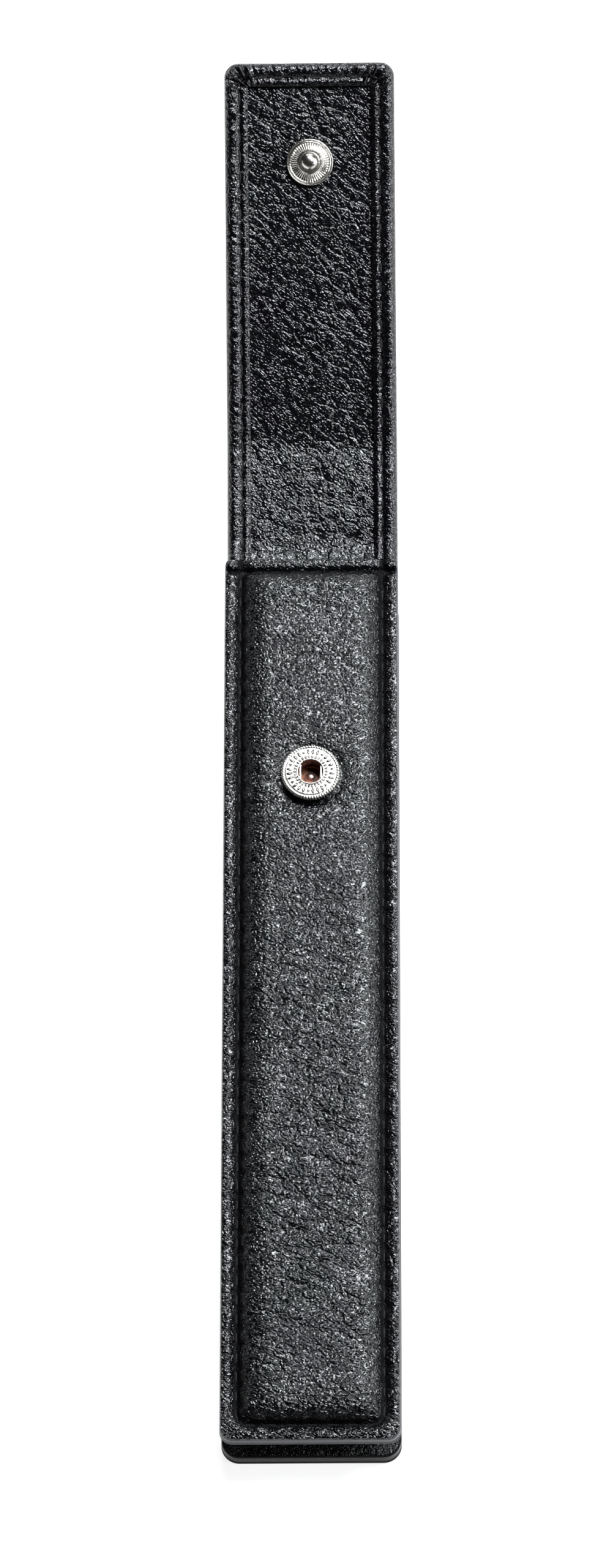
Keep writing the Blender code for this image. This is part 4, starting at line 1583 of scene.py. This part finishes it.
    def build(self) -> None:
        """Builds the padded front."""
        front = lay_grid("padded_front", self.plan_points())
        flat = corners_of(front)
        across, along = flat[:, 0], flat[:, 1]
        slack = self.creases(across, along) + self.settled(across, along)
        flat[:, 2] = self.height(across, along, slack) + self.seat(across, along)
        move_corners(front, flat)
        self._close_below(front)
        flat = corners_of(front)
        side = SIZES.half_width - np.abs(flat[:, 0])
        low = flat[:, 1] - SIZES.bottom
        sewn = self._rounded(side, low, self.seam_corner)
        run = np.column_stack([np.where(low < 4 * MM, flat[:, 0], flat[:, 1]), sewn, 0 * sewn])
        wander = 0.05 * MM * crumple(flat * np.array([1.0, 1.0, 0.0]), 4 * MM, 2.0)
        sunk = bump(sewn - SIZES.seam_inset + wander, 0.55 * MM)
        sunk = np.maximum(sunk, bump(self.mouth_run(flat[:, 0], flat[:, 1]), 0.4 * MM))
        mark_flat(front, smoothstep((3.6 * MM - sewn) / (1.2 * MM)) * 0.8, run)
        shade(front, 60.0)
        dress(front, self.finishes.nappa, self.finishes.channel)
        # Faces deep in the stitch channel take the darker copy of the leather: painted shade in
        # the channel.
        for face in front.data.polygons:
            face.material_index = int(sunk[list(face.vertices)].mean() > self.sunk_share)
        hand_over(front, Body.POCKET, ("front_leather", "front_padding"))
        self._sew()
        self._turn_mouth()

    def _close_below(self, front: bpy.types.Object) -> None:
        """Takes the front's edge straight down and closes its underside."""
        select_only(front)
        down = {"value": (0.0, 0.0, -20 * MM)}
        with edit_mode("DESELECT"):
            bpy.ops.mesh.select_non_manifold()
            bpy.ops.mesh.extrude_region_move(TRANSFORM_OT_translate=down)
            bpy.ops.mesh.edge_face_add()
        places = corners_of(front)
        places[:, 2] = np.maximum(places[:, 2], self.foot)
        move_corners(front, places)
        close_up(front)

    def _sew(self) -> None:
        """Stitches in the channel round the pad, and across the mouth."""
        route = Route(SIZES.half_width, SIZES.mouth - 3 * MM, SIZES.bottom, 3.4 * MM)
        plan = route.points(SIZES.seam_inset)
        half = SIZES.half_width - SIZES.seam_inset - 1.2 * MM
        across = np.linspace(-half, half, 120)
        line = np.column_stack([across, np.full(120, SIZES.mouth - self.mouth_seam)])
        for name, points, node in (
            ("front_stitches", plan, "front_seam_thread"),
            ("mouth_stitches", line, "mouth_seam_thread"),
        ):
            height = self.height(points[:, 0], points[:, 1]) - 0.02 * MM
            path = np.column_stack([points, height])
            stitches = self.seam.sew(name, path, np.array([0.0, 0.0, 1.0]), self.finishes.thread)
            hand_over(stitches, Body.POCKET, (node,))

    def _turn_mouth(self) -> None:
        """The leather turned in over the front's edge at the mouth."""
        half = 10.6 * MM
        mouth = SIZES.mouth
        inner = mouth - 4.2 * MM
        outline = arc_of((mouth - 0.9 * MM, self.foot), 0.9 * MM, 80.0, -80.0, 10)
        outline += [(inner, 10.25 * MM), (inner, 10.8 * MM), (mouth - 1.2 * MM, 11.9 * MM)]
        loop = even_out(outline, 0.4 * MM)
        loop = np.concatenate([loop, loop[:1]])
        xs = np.linspace(-half, half, 80)
        places = np.array([[(x, y, z) for y, z in loop] for x in xs])
        turned = lay_grid("mouth_turned_edge", places)
        close_up(turned)
        mark_flat(turned)
        shade(turned)
        dress(turned, self.finishes.nappa)
        hand_over(turned, Body.POCKET, ("front_leather",))


# ---------------------------------------------------------------- gusset and painted edges


@dataclass(frozen=True)
class EdgeBand:
    """A painted edge: its lowest and highest parts in millimetres, its start and corner."""

    name: str
    material: bpy.types.Material
    low: float
    high: float
    start: float
    corner: float


@dataclass
class PocketSides:
    """The folded gusset between back and front, and the paint on the cut edges."""

    finishes: Finishes
    low: float = 2.6 * MM
    high: float = 10.8 * MM
    wall: float = 3.4 * MM
    skin: float = 0.7 * MM
    ridges: tuple[float, ...] = (-8.6, -4.9, 2.7, 7.0, 10.3)

    def build(self) -> None:
        """Builds the gusset and both painted edges."""
        self.build_gusset()
        front_start = SIZES.mouth - 1.6 * MM
        back_start = SIZES.mouth - SIZES.hem_below_mouth
        # The back's edge takes the darker copy of the paint: painted shade.
        paint, dark = self.finishes.paint, self.finishes.shaded_paint
        for band in (
            EdgeBand("front_edge_paint", paint, 10.2, 12.5, front_start, SIZES.front_corner),
            EdgeBand("back_edge_paint", dark, 0.2, 3.3, back_start, SIZES.back_corner),
        ):
            self.paint_edge(band)

    def build_gusset(self) -> None:
        """A strip folded into a channel, pleated at the corners, its mouth ends slanted."""
        low, high, wall, skin = self.low, self.high, self.wall, self.skin
        outline = [(0.2 * MM, low), (0.2 * MM, low + skin), (wall - skin, low + skin)]
        outline += arc_of((wall - skin, low + 2 * skin), skin, -90.0, 0.0, 4)[1:]
        outline += arc_of((wall - skin, high - 2 * skin), skin, 0.0, 90.0, 4)
        outline += [(0.2 * MM, high - skin), (0.2 * MM, high)]
        outline += [(wall + 0.3 * skin, high), (wall + skin, high - 0.6 * skin)]
        outline += [(wall + skin, low + 0.6 * skin), (wall + 0.3 * skin, low)]
        profile = even_out(outline + outline[:1], 0.7 * MM)
        slope = SIZES.hem_below_mouth / (self.high - SIZES.hem_top)
        opens = SIZES.mouth - 0.4 * MM - (self.high - profile[:, 1]) * slope
        route = Route(SIZES.half_width, SIZES.mouth, SIZES.bottom, SIZES.back_corner, 0.6 * MM, 40)
        gusset, run, corner = sweep("gusset_channel", route, profile, opens)
        places = corners_of(gusset)
        mark_flat(gusset, 0.5, run)
        free = bump(places[:, 2] - (low + high) / 2, 3.2 * MM)
        outer = smoothstep((run[:, 1] - 2.2 * MM) / MM)
        fold = np.cos(2 * math.pi * corner * 4.0) * (corner > 0)
        spread = np.column_stack([run[:, 0] / (7 * MM), places[:, 2] / (3 * MM), 0 * corner])
        soft = crumple(spread, 1.0)
        ridges = sum(bump(places[:, 0] - x * MM, 0.6 * MM) for x in self.ridges)
        ridges = ridges * (places[:, 1] < SIZES.bottom + 6 * MM)
        push = free * outer * MM * (0.45 * fold + 0.3 * soft - 0.6 * ridges)
        places[:, 0] -= np.sign(places[:, 0]) * push * (np.abs(places[:, 0]) > 10 * MM)
        places[:, 1] += push * (places[:, 1] < SIZES.bottom + 6 * MM)
        move_corners(gusset, places)
        close_up(gusset)
        shade(gusset, 50.0)
        dress(gusset, self.finishes.gusset)
        hand_over(gusset, Body.POCKET, ("gusset",))

    def paint_edge(self, paint: EdgeBand) -> None:
        """A coat of paint round the cut edges of the layers, from a start near the mouth."""
        low, high = paint.low * MM, paint.high * MM
        out = -0.05 * MM
        middle = (low + high) / 2
        loop = [(0.4 * MM, low), (0.1 * MM, low - 0.02 * MM), (-0.14 * MM, low + 0.14 * MM)]
        loop += [(-0.12 * MM, low + 0.36 * MM), (out + 0.04 * MM, low + 0.6 * MM)]
        loop += [(out, middle), (out, high - 0.25 * MM), (0.12 * MM, high)]
        loop += [(0.4 * MM, high - 0.1 * MM)]
        profile = even_out(loop + loop[:1], 0.3 * MM)
        route = Route(SIZES.half_width, paint.start, SIZES.bottom, paint.corner, 0.5 * MM, 20)
        band, run, _ = sweep(paint.name, route, profile)
        mark_flat(band, 0.0, np.column_stack([run[:, 0], corners_of(band)[:, 2], run[:, 2]]))
        close_up(band)
        shade(band, 50.0)
        dress(band, paint.material)
        hand_over(band, Body.POCKET)


# ---------------------------------------------------------------- snap


Relief = Callable[[Array, Array, Array], tuple[Array, Array]]


def turn_metal(
    name: str, profile: Array, steps: int, relief: Relief | None = None
) -> bpy.types.Object:
    """Turns a metal part and presses a relief into it.

    Args:
        name: The new piece's name.
        profile: Rows of (radius, height).
        steps: How many parts the turn has.
        relief: From radius, angle and height, how far to move each point out and up.

    Returns:
        The part, at the origin.
    """
    part = spin_profile(name, profile, steps)
    if relief:
        places = corners_of(part)
        radius = np.hypot(places[:, 0], places[:, 1])
        angle = np.arctan2(places[:, 1], places[:, 0])
        out, up = relief(radius, angle, places[:, 2])
        scale = (radius + out) / np.maximum(radius, 1e-9)
        moved = np.column_stack([places[:, 0] * scale, places[:, 1] * scale, places[:, 2] + up])
        move_corners(part, moved)
    return part


@dataclass
class SpringSocket:
    """The socket on the pocket: a knurled ring, its spring, and the rivet that holds it."""

    finishes: Finishes
    ropes: int = 64
    dots: int = 30
    dashes: int = 28
    dot_circle: float = 2.74 * MM

    @property
    def seat(self) -> Vector:
        """Where the socket sits on the leather."""
        return Vector((0.0, SIZES.snap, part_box("snap_socket")[1].z - 1.3 * MM))

    def build(self) -> None:
        """Builds the ring, the spring and the rivet."""
        self.build_ring()
        self.build_spring()
        self.build_rivet()

    def _knurl(self, radius: Array, angle: Array, up: Array) -> tuple[Array, Array]:
        """A rope pattern rolled round the outer rim."""
        on_rim = smoothstep((radius - 4.5 * MM) / (0.2 * MM))
        on_rim = on_rim * smoothstep((up - 0.02 * MM) / (0.2 * MM))
        wave = np.cos(self.ropes * angle + up / MM * 2.4)
        return 0.09 * MM * wave * on_rim, 0.05 * MM * wave * on_rim

    def build_ring(self) -> None:
        """The ring, with dots round its bore and plain dashes on its face."""
        profile = [(0.0, -1.7), (1.9, -1.7), (2.12, -1.5), (2.12, 0.9), (2.16, 1.16)]
        profile += arc_of((2.3, 1.16), 0.14, 180.0, 0.0, 6)
        profile += [(2.5, 1.06), (2.95, 1.06), (3.02, 1.14), (4.2, 1.12), (4.3, 1.02)]
        profile += [(4.42, 1.0)]
        profile += arc_of((4.7, 0.75), 0.35, 120.0, 0.0, 8)
        profile += [(5.05, 0.35), (4.85, 0.02), (2.7, 0.0), (2.6, -0.2), (2.6, -1.9)]
        profile += [(2.45, -2.05), (0.0, -2.05)]
        ring = turn_metal("snap_socket_ring", even_out(profile, 0.2) * MM, 256, self._knurl)
        # Faces inside the bore take the darkened brass: partly painted shade in the bore.
        dress(ring, self.finishes.nickel, self.finishes.bore_brass_shaded)
        for face in ring.data.polygons:
            in_bore = face.center.xy.length < 2.2 * MM and face.center.z < 1.1 * MM
            face.material_index = int(in_bore)
        ring = join("snap_socket_ring", [ring, *self._marks()])
        place_on(ring, self.seat)
        shade(ring, 35.0)
        hand_over(ring, Body.POCKET, ("snap_socket",))

    def _marks(self) -> list[bpy.types.Object]:
        """Beads round the bore, and plain dashes and dots on the face, each on a dark patch of
        painted shade that stands for its recess.
        """
        marks = []
        for i in range(self.dots):
            turn = 2 * math.pi * i / self.dots
            marks.append(self._stamp(turn, self.dot_circle, (0.26, 0.26, 0.06), 1.05, True))
            marks.append(self._stamp(turn, self.dot_circle, (0.13, 0.13, 0.14), 1.05, False))
        for i in range(self.dashes):
            turn = 2 * math.pi * (i + 0.5) / self.dashes
            long_way = 0.14 if i % 4 == 0 else 0.42
            marks.append(self._stamp(turn, 3.66 * MM, (long_way + 0.14, 0.27, 0.06), 1.12, True))
            marks.append(self._stamp(turn, 3.66 * MM, (long_way, 0.1, 0.11), 1.12, False))
        return marks

    def _stamp(
        self, turn: float, circle: float, size: tuple[float, float, float], up: float, dark: bool
    ) -> bpy.types.Object:
        """One mark: a low dome, stretched out from the centre.

        Args:
            turn: Its angle round the ring.
            circle: Its distance from the centre.
            size: Its reach outwards, round and up, in millimetres.
            up: Height of its middle, in millimetres.
            dark: Whether it is the dark patch of painted shade for the recess, or the raised part
                in it.
        """
        deselect_all()
        bpy.ops.mesh.primitive_ico_sphere_add(subdivisions=2, radius=1.0)
        stamp = bpy.context.object
        shape = corners_of(stamp) * np.array(size) * MM
        cosine, sine = math.cos(turn), math.sin(turn)
        x, y = shape[:, 0] + circle, shape[:, 1]
        placed = np.column_stack(
            [x * cosine - y * sine, x * sine + y * cosine, shape[:, 2] + up * MM]
        )
        move_corners(stamp, placed)
        # The recess is not cut: a patch of darker metal paints its shade.
        dress(stamp, self.finishes.recess_shade if dark else self.finishes.nickel)
        return stamp

    def build_spring(self) -> None:
        """The wire spring: a straight leg each side of the bore, joined round one end."""
        leg, reach, sweep_radius = 1.78 * MM, 1.6 * MM, 2.85 * MM
        start = math.acos(leg / sweep_radius)
        bend = [
            (sweep_radius * math.cos(a), sweep_radius * math.sin(a))
            for a in np.linspace(math.pi - start, start, 12)
        ]
        plan = [(-leg, -reach), (-leg, 0.0), *bend, (leg, 0.0), (leg, -reach)]
        centres = even_out(plan, 0.25 * MM)
        along = np.gradient(centres, axis=0)
        along /= np.linalg.norm(along, axis=1)[:, None]
        turns = np.linspace(0.0, 2 * math.pi, 13)
        wire = 0.24 * MM
        places = np.array(
            [
                np.column_stack(
                    [
                        c[0] - t[1] * wire * np.cos(turns),
                        c[1] + t[0] * wire * np.cos(turns),
                        wire * np.sin(turns),
                    ]
                )
                for c, t in zip(centres, along)
            ]
        )
        spring = lay_grid("snap_spring_wire", places)
        close_up(spring)
        place_on(spring, self.seat + Vector((0.0, 0.0, 0.72 * MM)))
        shade(spring)
        dress(spring, self.finishes.spring)
        hand_over(spring, Body.POCKET, ("snap_socket_spring",))

    def build_rivet(self) -> None:
        """The rivet's head in the bore, over its plate behind the leather."""
        profile = [(0.0, -0.95)] + arc_of((0.0, -1.75), 0.8, 80.0, 30.0, 8)
        profile += [(0.9, -1.45), (1.1, -1.55), (1.1, -1.68), (0.7, -1.7), (0.7, -2.6)]
        profile += [(3.2, -2.6), (3.2, -3.0), (0.0, -3.0)]
        rivet = turn_metal("snap_rivet", even_out(profile, 0.3) * MM, 48)
        place_on(rivet, self.seat)
        shade(rivet)
        dress(rivet, self.finishes.rivet)
        hand_over(rivet, Body.POCKET, ("snap_socket_rivet",))


@dataclass
class Stud:
    """The stud on the flap's inner face and its cap on the outer one."""

    finishes: Finishes
    flutes: int = 48
    on_flap: float = 50.0 * MM

    def _laid(self, piece: bpy.types.Object, height: float) -> None:
        """Puts a piece on the flap, its own Z out of the flap's face at a height."""
        along = STRIP.flap_start + self.on_flap
        base = STRIP.lay(np.array([[0.0, along, height]]))[0]
        place_on(piece, Vector(base), STRIP.spine_angle + SIZES.flap_angle)

    def _fluting(self, radius: Array, angle: Array, up: Array) -> tuple[Array, Array]:
        """Fine flutes round the slope of the stud."""
        band = smoothstep((radius - 2.18 * MM) / (0.15 * MM))
        band = band * smoothstep((3.42 * MM - radius) / (0.12 * MM)) * (up > 0.25 * MM)
        return 0.0 * radius, 0.07 * MM * np.cos(self.flutes * angle) * band

    def build(self) -> None:
        """Builds the stud and the cap."""
        profile = [(0.0, 0.0), (3.95, 0.0), (4.12, 0.15), (4.12, 0.35)]
        profile += arc_of((3.98, 0.38), 0.14, 0.0, 150.0, 6)
        profile += [(3.8, 0.36), (3.72, 0.48), (3.62, 0.53), (3.45, 0.5), (3.36, 0.44)]
        profile += [(2.9, 0.58), (2.25, 0.86), (2.14, 1.0), (2.03, 1.1), (1.85, 1.12)]
        profile += [(1.55, 1.0), (1.45, 1.05), (1.42, 1.9), (1.62, 2.2)]
        profile += arc_of((0.0, 1.75), 1.78, 18.0, 88.0, 14)[1:]
        profile += [(0.0, 3.53)]
        stud = turn_metal("flap_stud", even_out(profile, 0.18) * MM, 240, self._fluting)
        self._laid(stud, SIZES.lining_top + 0.25 * MM)
        shade(stud, 35.0)
        dress(stud, self.finishes.nickel)
        hand_over(stud, Body.FLAP, ("snap_stud",))

        cap_profile = [(0.0, 0.25), (4.75, 0.25), (5.0, 0.0), (4.95, -0.25), (4.6, -0.5)]
        cap_profile += [(4.45, -0.45), (4.2, -0.62), (3.2, -0.83), (1.8, -0.97), (0.0, -1.0)]
        cap = turn_metal("flap_cap", even_out(cap_profile, 0.3) * MM, 96)
        self._laid(cap, -0.25 * MM)
        shade(cap)
        dress(cap, self.finishes.nickel)
        hand_over(cap, Body.FLAP, ("snap_cap",))


# ---------------------------------------------------------------- studio


@dataclass(frozen=True)
class LightTable:
    """Opal acrylic lit evenly from below: a plain pale floor that hardly takes a shadow."""

    name: str = "acrylic_opal_lit"
    colour: str = "#b6b6b4"
    low_colour: str = "#b2b2b0"
    mottle: float = 6 * MM
    glow: float = 0.85

    def material(self) -> bpy.types.Material:
        """Builds the acrylic's node tree."""
        material, tree, shader = new_material(self.name)
        mottle = noise_node(tree, own_place(tree), self.mottle, 3.0)
        tint = ramp_node(tree, mottle, self.low_colour, self.colour)
        tree.links.new(tint, shader.inputs["Base Color"])
        shader.inputs["Roughness"].default_value = 0.9
        shader.inputs["Emission Color"].default_value = linear("#ffffff")
        shader.inputs["Emission Strength"].default_value = self.glow
        return material


@dataclass(frozen=True)
class Lamp:
    """A soft light: its place and its size in metres, and its power in watts."""

    name: str
    place: tuple[float, float, float]
    size: tuple[float, float]
    power: float

    def build(self, aim: Vector) -> None:
        """Sets the light up, aimed at a point."""
        place = Vector(self.place)
        deselect_all()
        bpy.ops.object.light_add(type="AREA", location=place)
        light = bpy.context.object
        light.name = self.name
        light.data.shape = "RECTANGLE"
        light.data.size, light.data.size_y = self.size
        light.data.energy = self.power
        light.data.color = (0.935, 0.965, 1.0)
        light.rotation_euler = (aim - place).to_track_quat("-Z", "Y").to_euler()


@dataclass
class Studio:
    """The floor, the light and the camera."""

    target: Vector = field(default_factory=lambda: Vector((-2.23, 40.69, 6.0)) * MM)
    distance: float = 1302.9 * MM
    elevation: float = math.radians(66.27)
    azimuth: float = math.radians(3.26)
    roll: float = math.radians(-3.434)
    view: float = math.radians(11.90)
    floor_size: float = 3.0
    lit: Vector = field(default_factory=lambda: Vector((0.0, 0.03, 0.0)))
    room_light: float = 0.03
    lamps: tuple[Lamp, ...] = (
        Lamp("key", (0.3, 0.41, 0.83), (0.95, 0.28), 28.0),
        Lamp("fill_right", (0.95, 0.0, 0.35), (0.9, 0.16), 9.0),
        Lamp("fill_far", (0.0, 1.1, 0.4), (0.9, 0.2), 2.5),
    )

    def build(self) -> None:
        """Sets up everything that isn't the case."""
        self._floor()
        self._lights()
        self._camera()

    def _floor(self) -> None:
        """A pale floor under the case."""
        deselect_all()
        under = (0.0, 0.0, CAD_BOX[0].z - 0.1 * MM)
        bpy.ops.mesh.primitive_plane_add(size=self.floor_size, location=under)
        floor = bpy.context.object
        floor.name = "floor"
        with edit_mode():
            bpy.ops.mesh.subdivide(number_cuts=6)
        dress(floor, LightTable().material())

    def _lights(self) -> None:
        """A soft key beyond the case, two weak fills and a nearly dark room."""
        for lamp in self.lamps:
            lamp.build(self.lit)
        world = bpy.data.worlds.new("room")
        world.use_nodes = True
        background = world.node_tree.nodes["Background"]
        background.inputs["Color"].default_value = linear("#ffffff")
        background.inputs["Strength"].default_value = self.room_light
        bpy.context.scene.world = world
        bpy.context.scene.view_settings.view_transform = "Standard"

    def _camera(self) -> None:
        """The camera, from above the pocket's end."""
        out = Vector(
            (
                math.sin(self.azimuth) * math.cos(self.elevation),
                -math.cos(self.azimuth) * math.cos(self.elevation),
                math.sin(self.elevation),
            )
        )
        level = (-out).cross(Vector((0.0, 0.0, 1.0))).normalized()
        rise = level.cross(-out)
        cosine, sine = math.cos(self.roll), math.sin(self.roll)
        right = level * cosine + rise * sine
        up = rise * cosine - level * sine
        deselect_all()
        bpy.ops.object.camera_add()
        camera = bpy.context.object
        camera.name = "camera"
        turned = Matrix((right, up, out)).transposed().to_4x4()
        camera.matrix_world = Matrix.Translation(self.target + out * self.distance) @ turned
        camera.data.lens = camera.data.sensor_width / 2 / math.tan(self.view / 2)
        camera.data.clip_start = 0.05
        camera.data.clip_end = 20.0
        bpy.context.scene.camera = camera


def dress_inner_layers(finishes: Finishes) -> None:
    """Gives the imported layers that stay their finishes."""
    inner = {
        "back_board": finishes.board,
        "flap_board": finishes.board,
        "front_lining": finishes.hidden_lining,
    }
    for name, material in inner.items():
        dress(bpy.data.objects[name], material)


def main() -> None:
    """Builds the case and the studio."""
    logging.basicConfig(level=logging.INFO, format="%(message)s")
    finishes = Finishes()
    Studio().build()
    FoldingBack(finishes).build()
    Linings(finishes).build()
    PaddedFront(finishes).build()
    PocketSides(finishes).build()
    SpringSocket(finishes).build()
    Stud(finishes).build()
    dress_inner_layers(finishes)


if __name__ == "__main__":
    main()
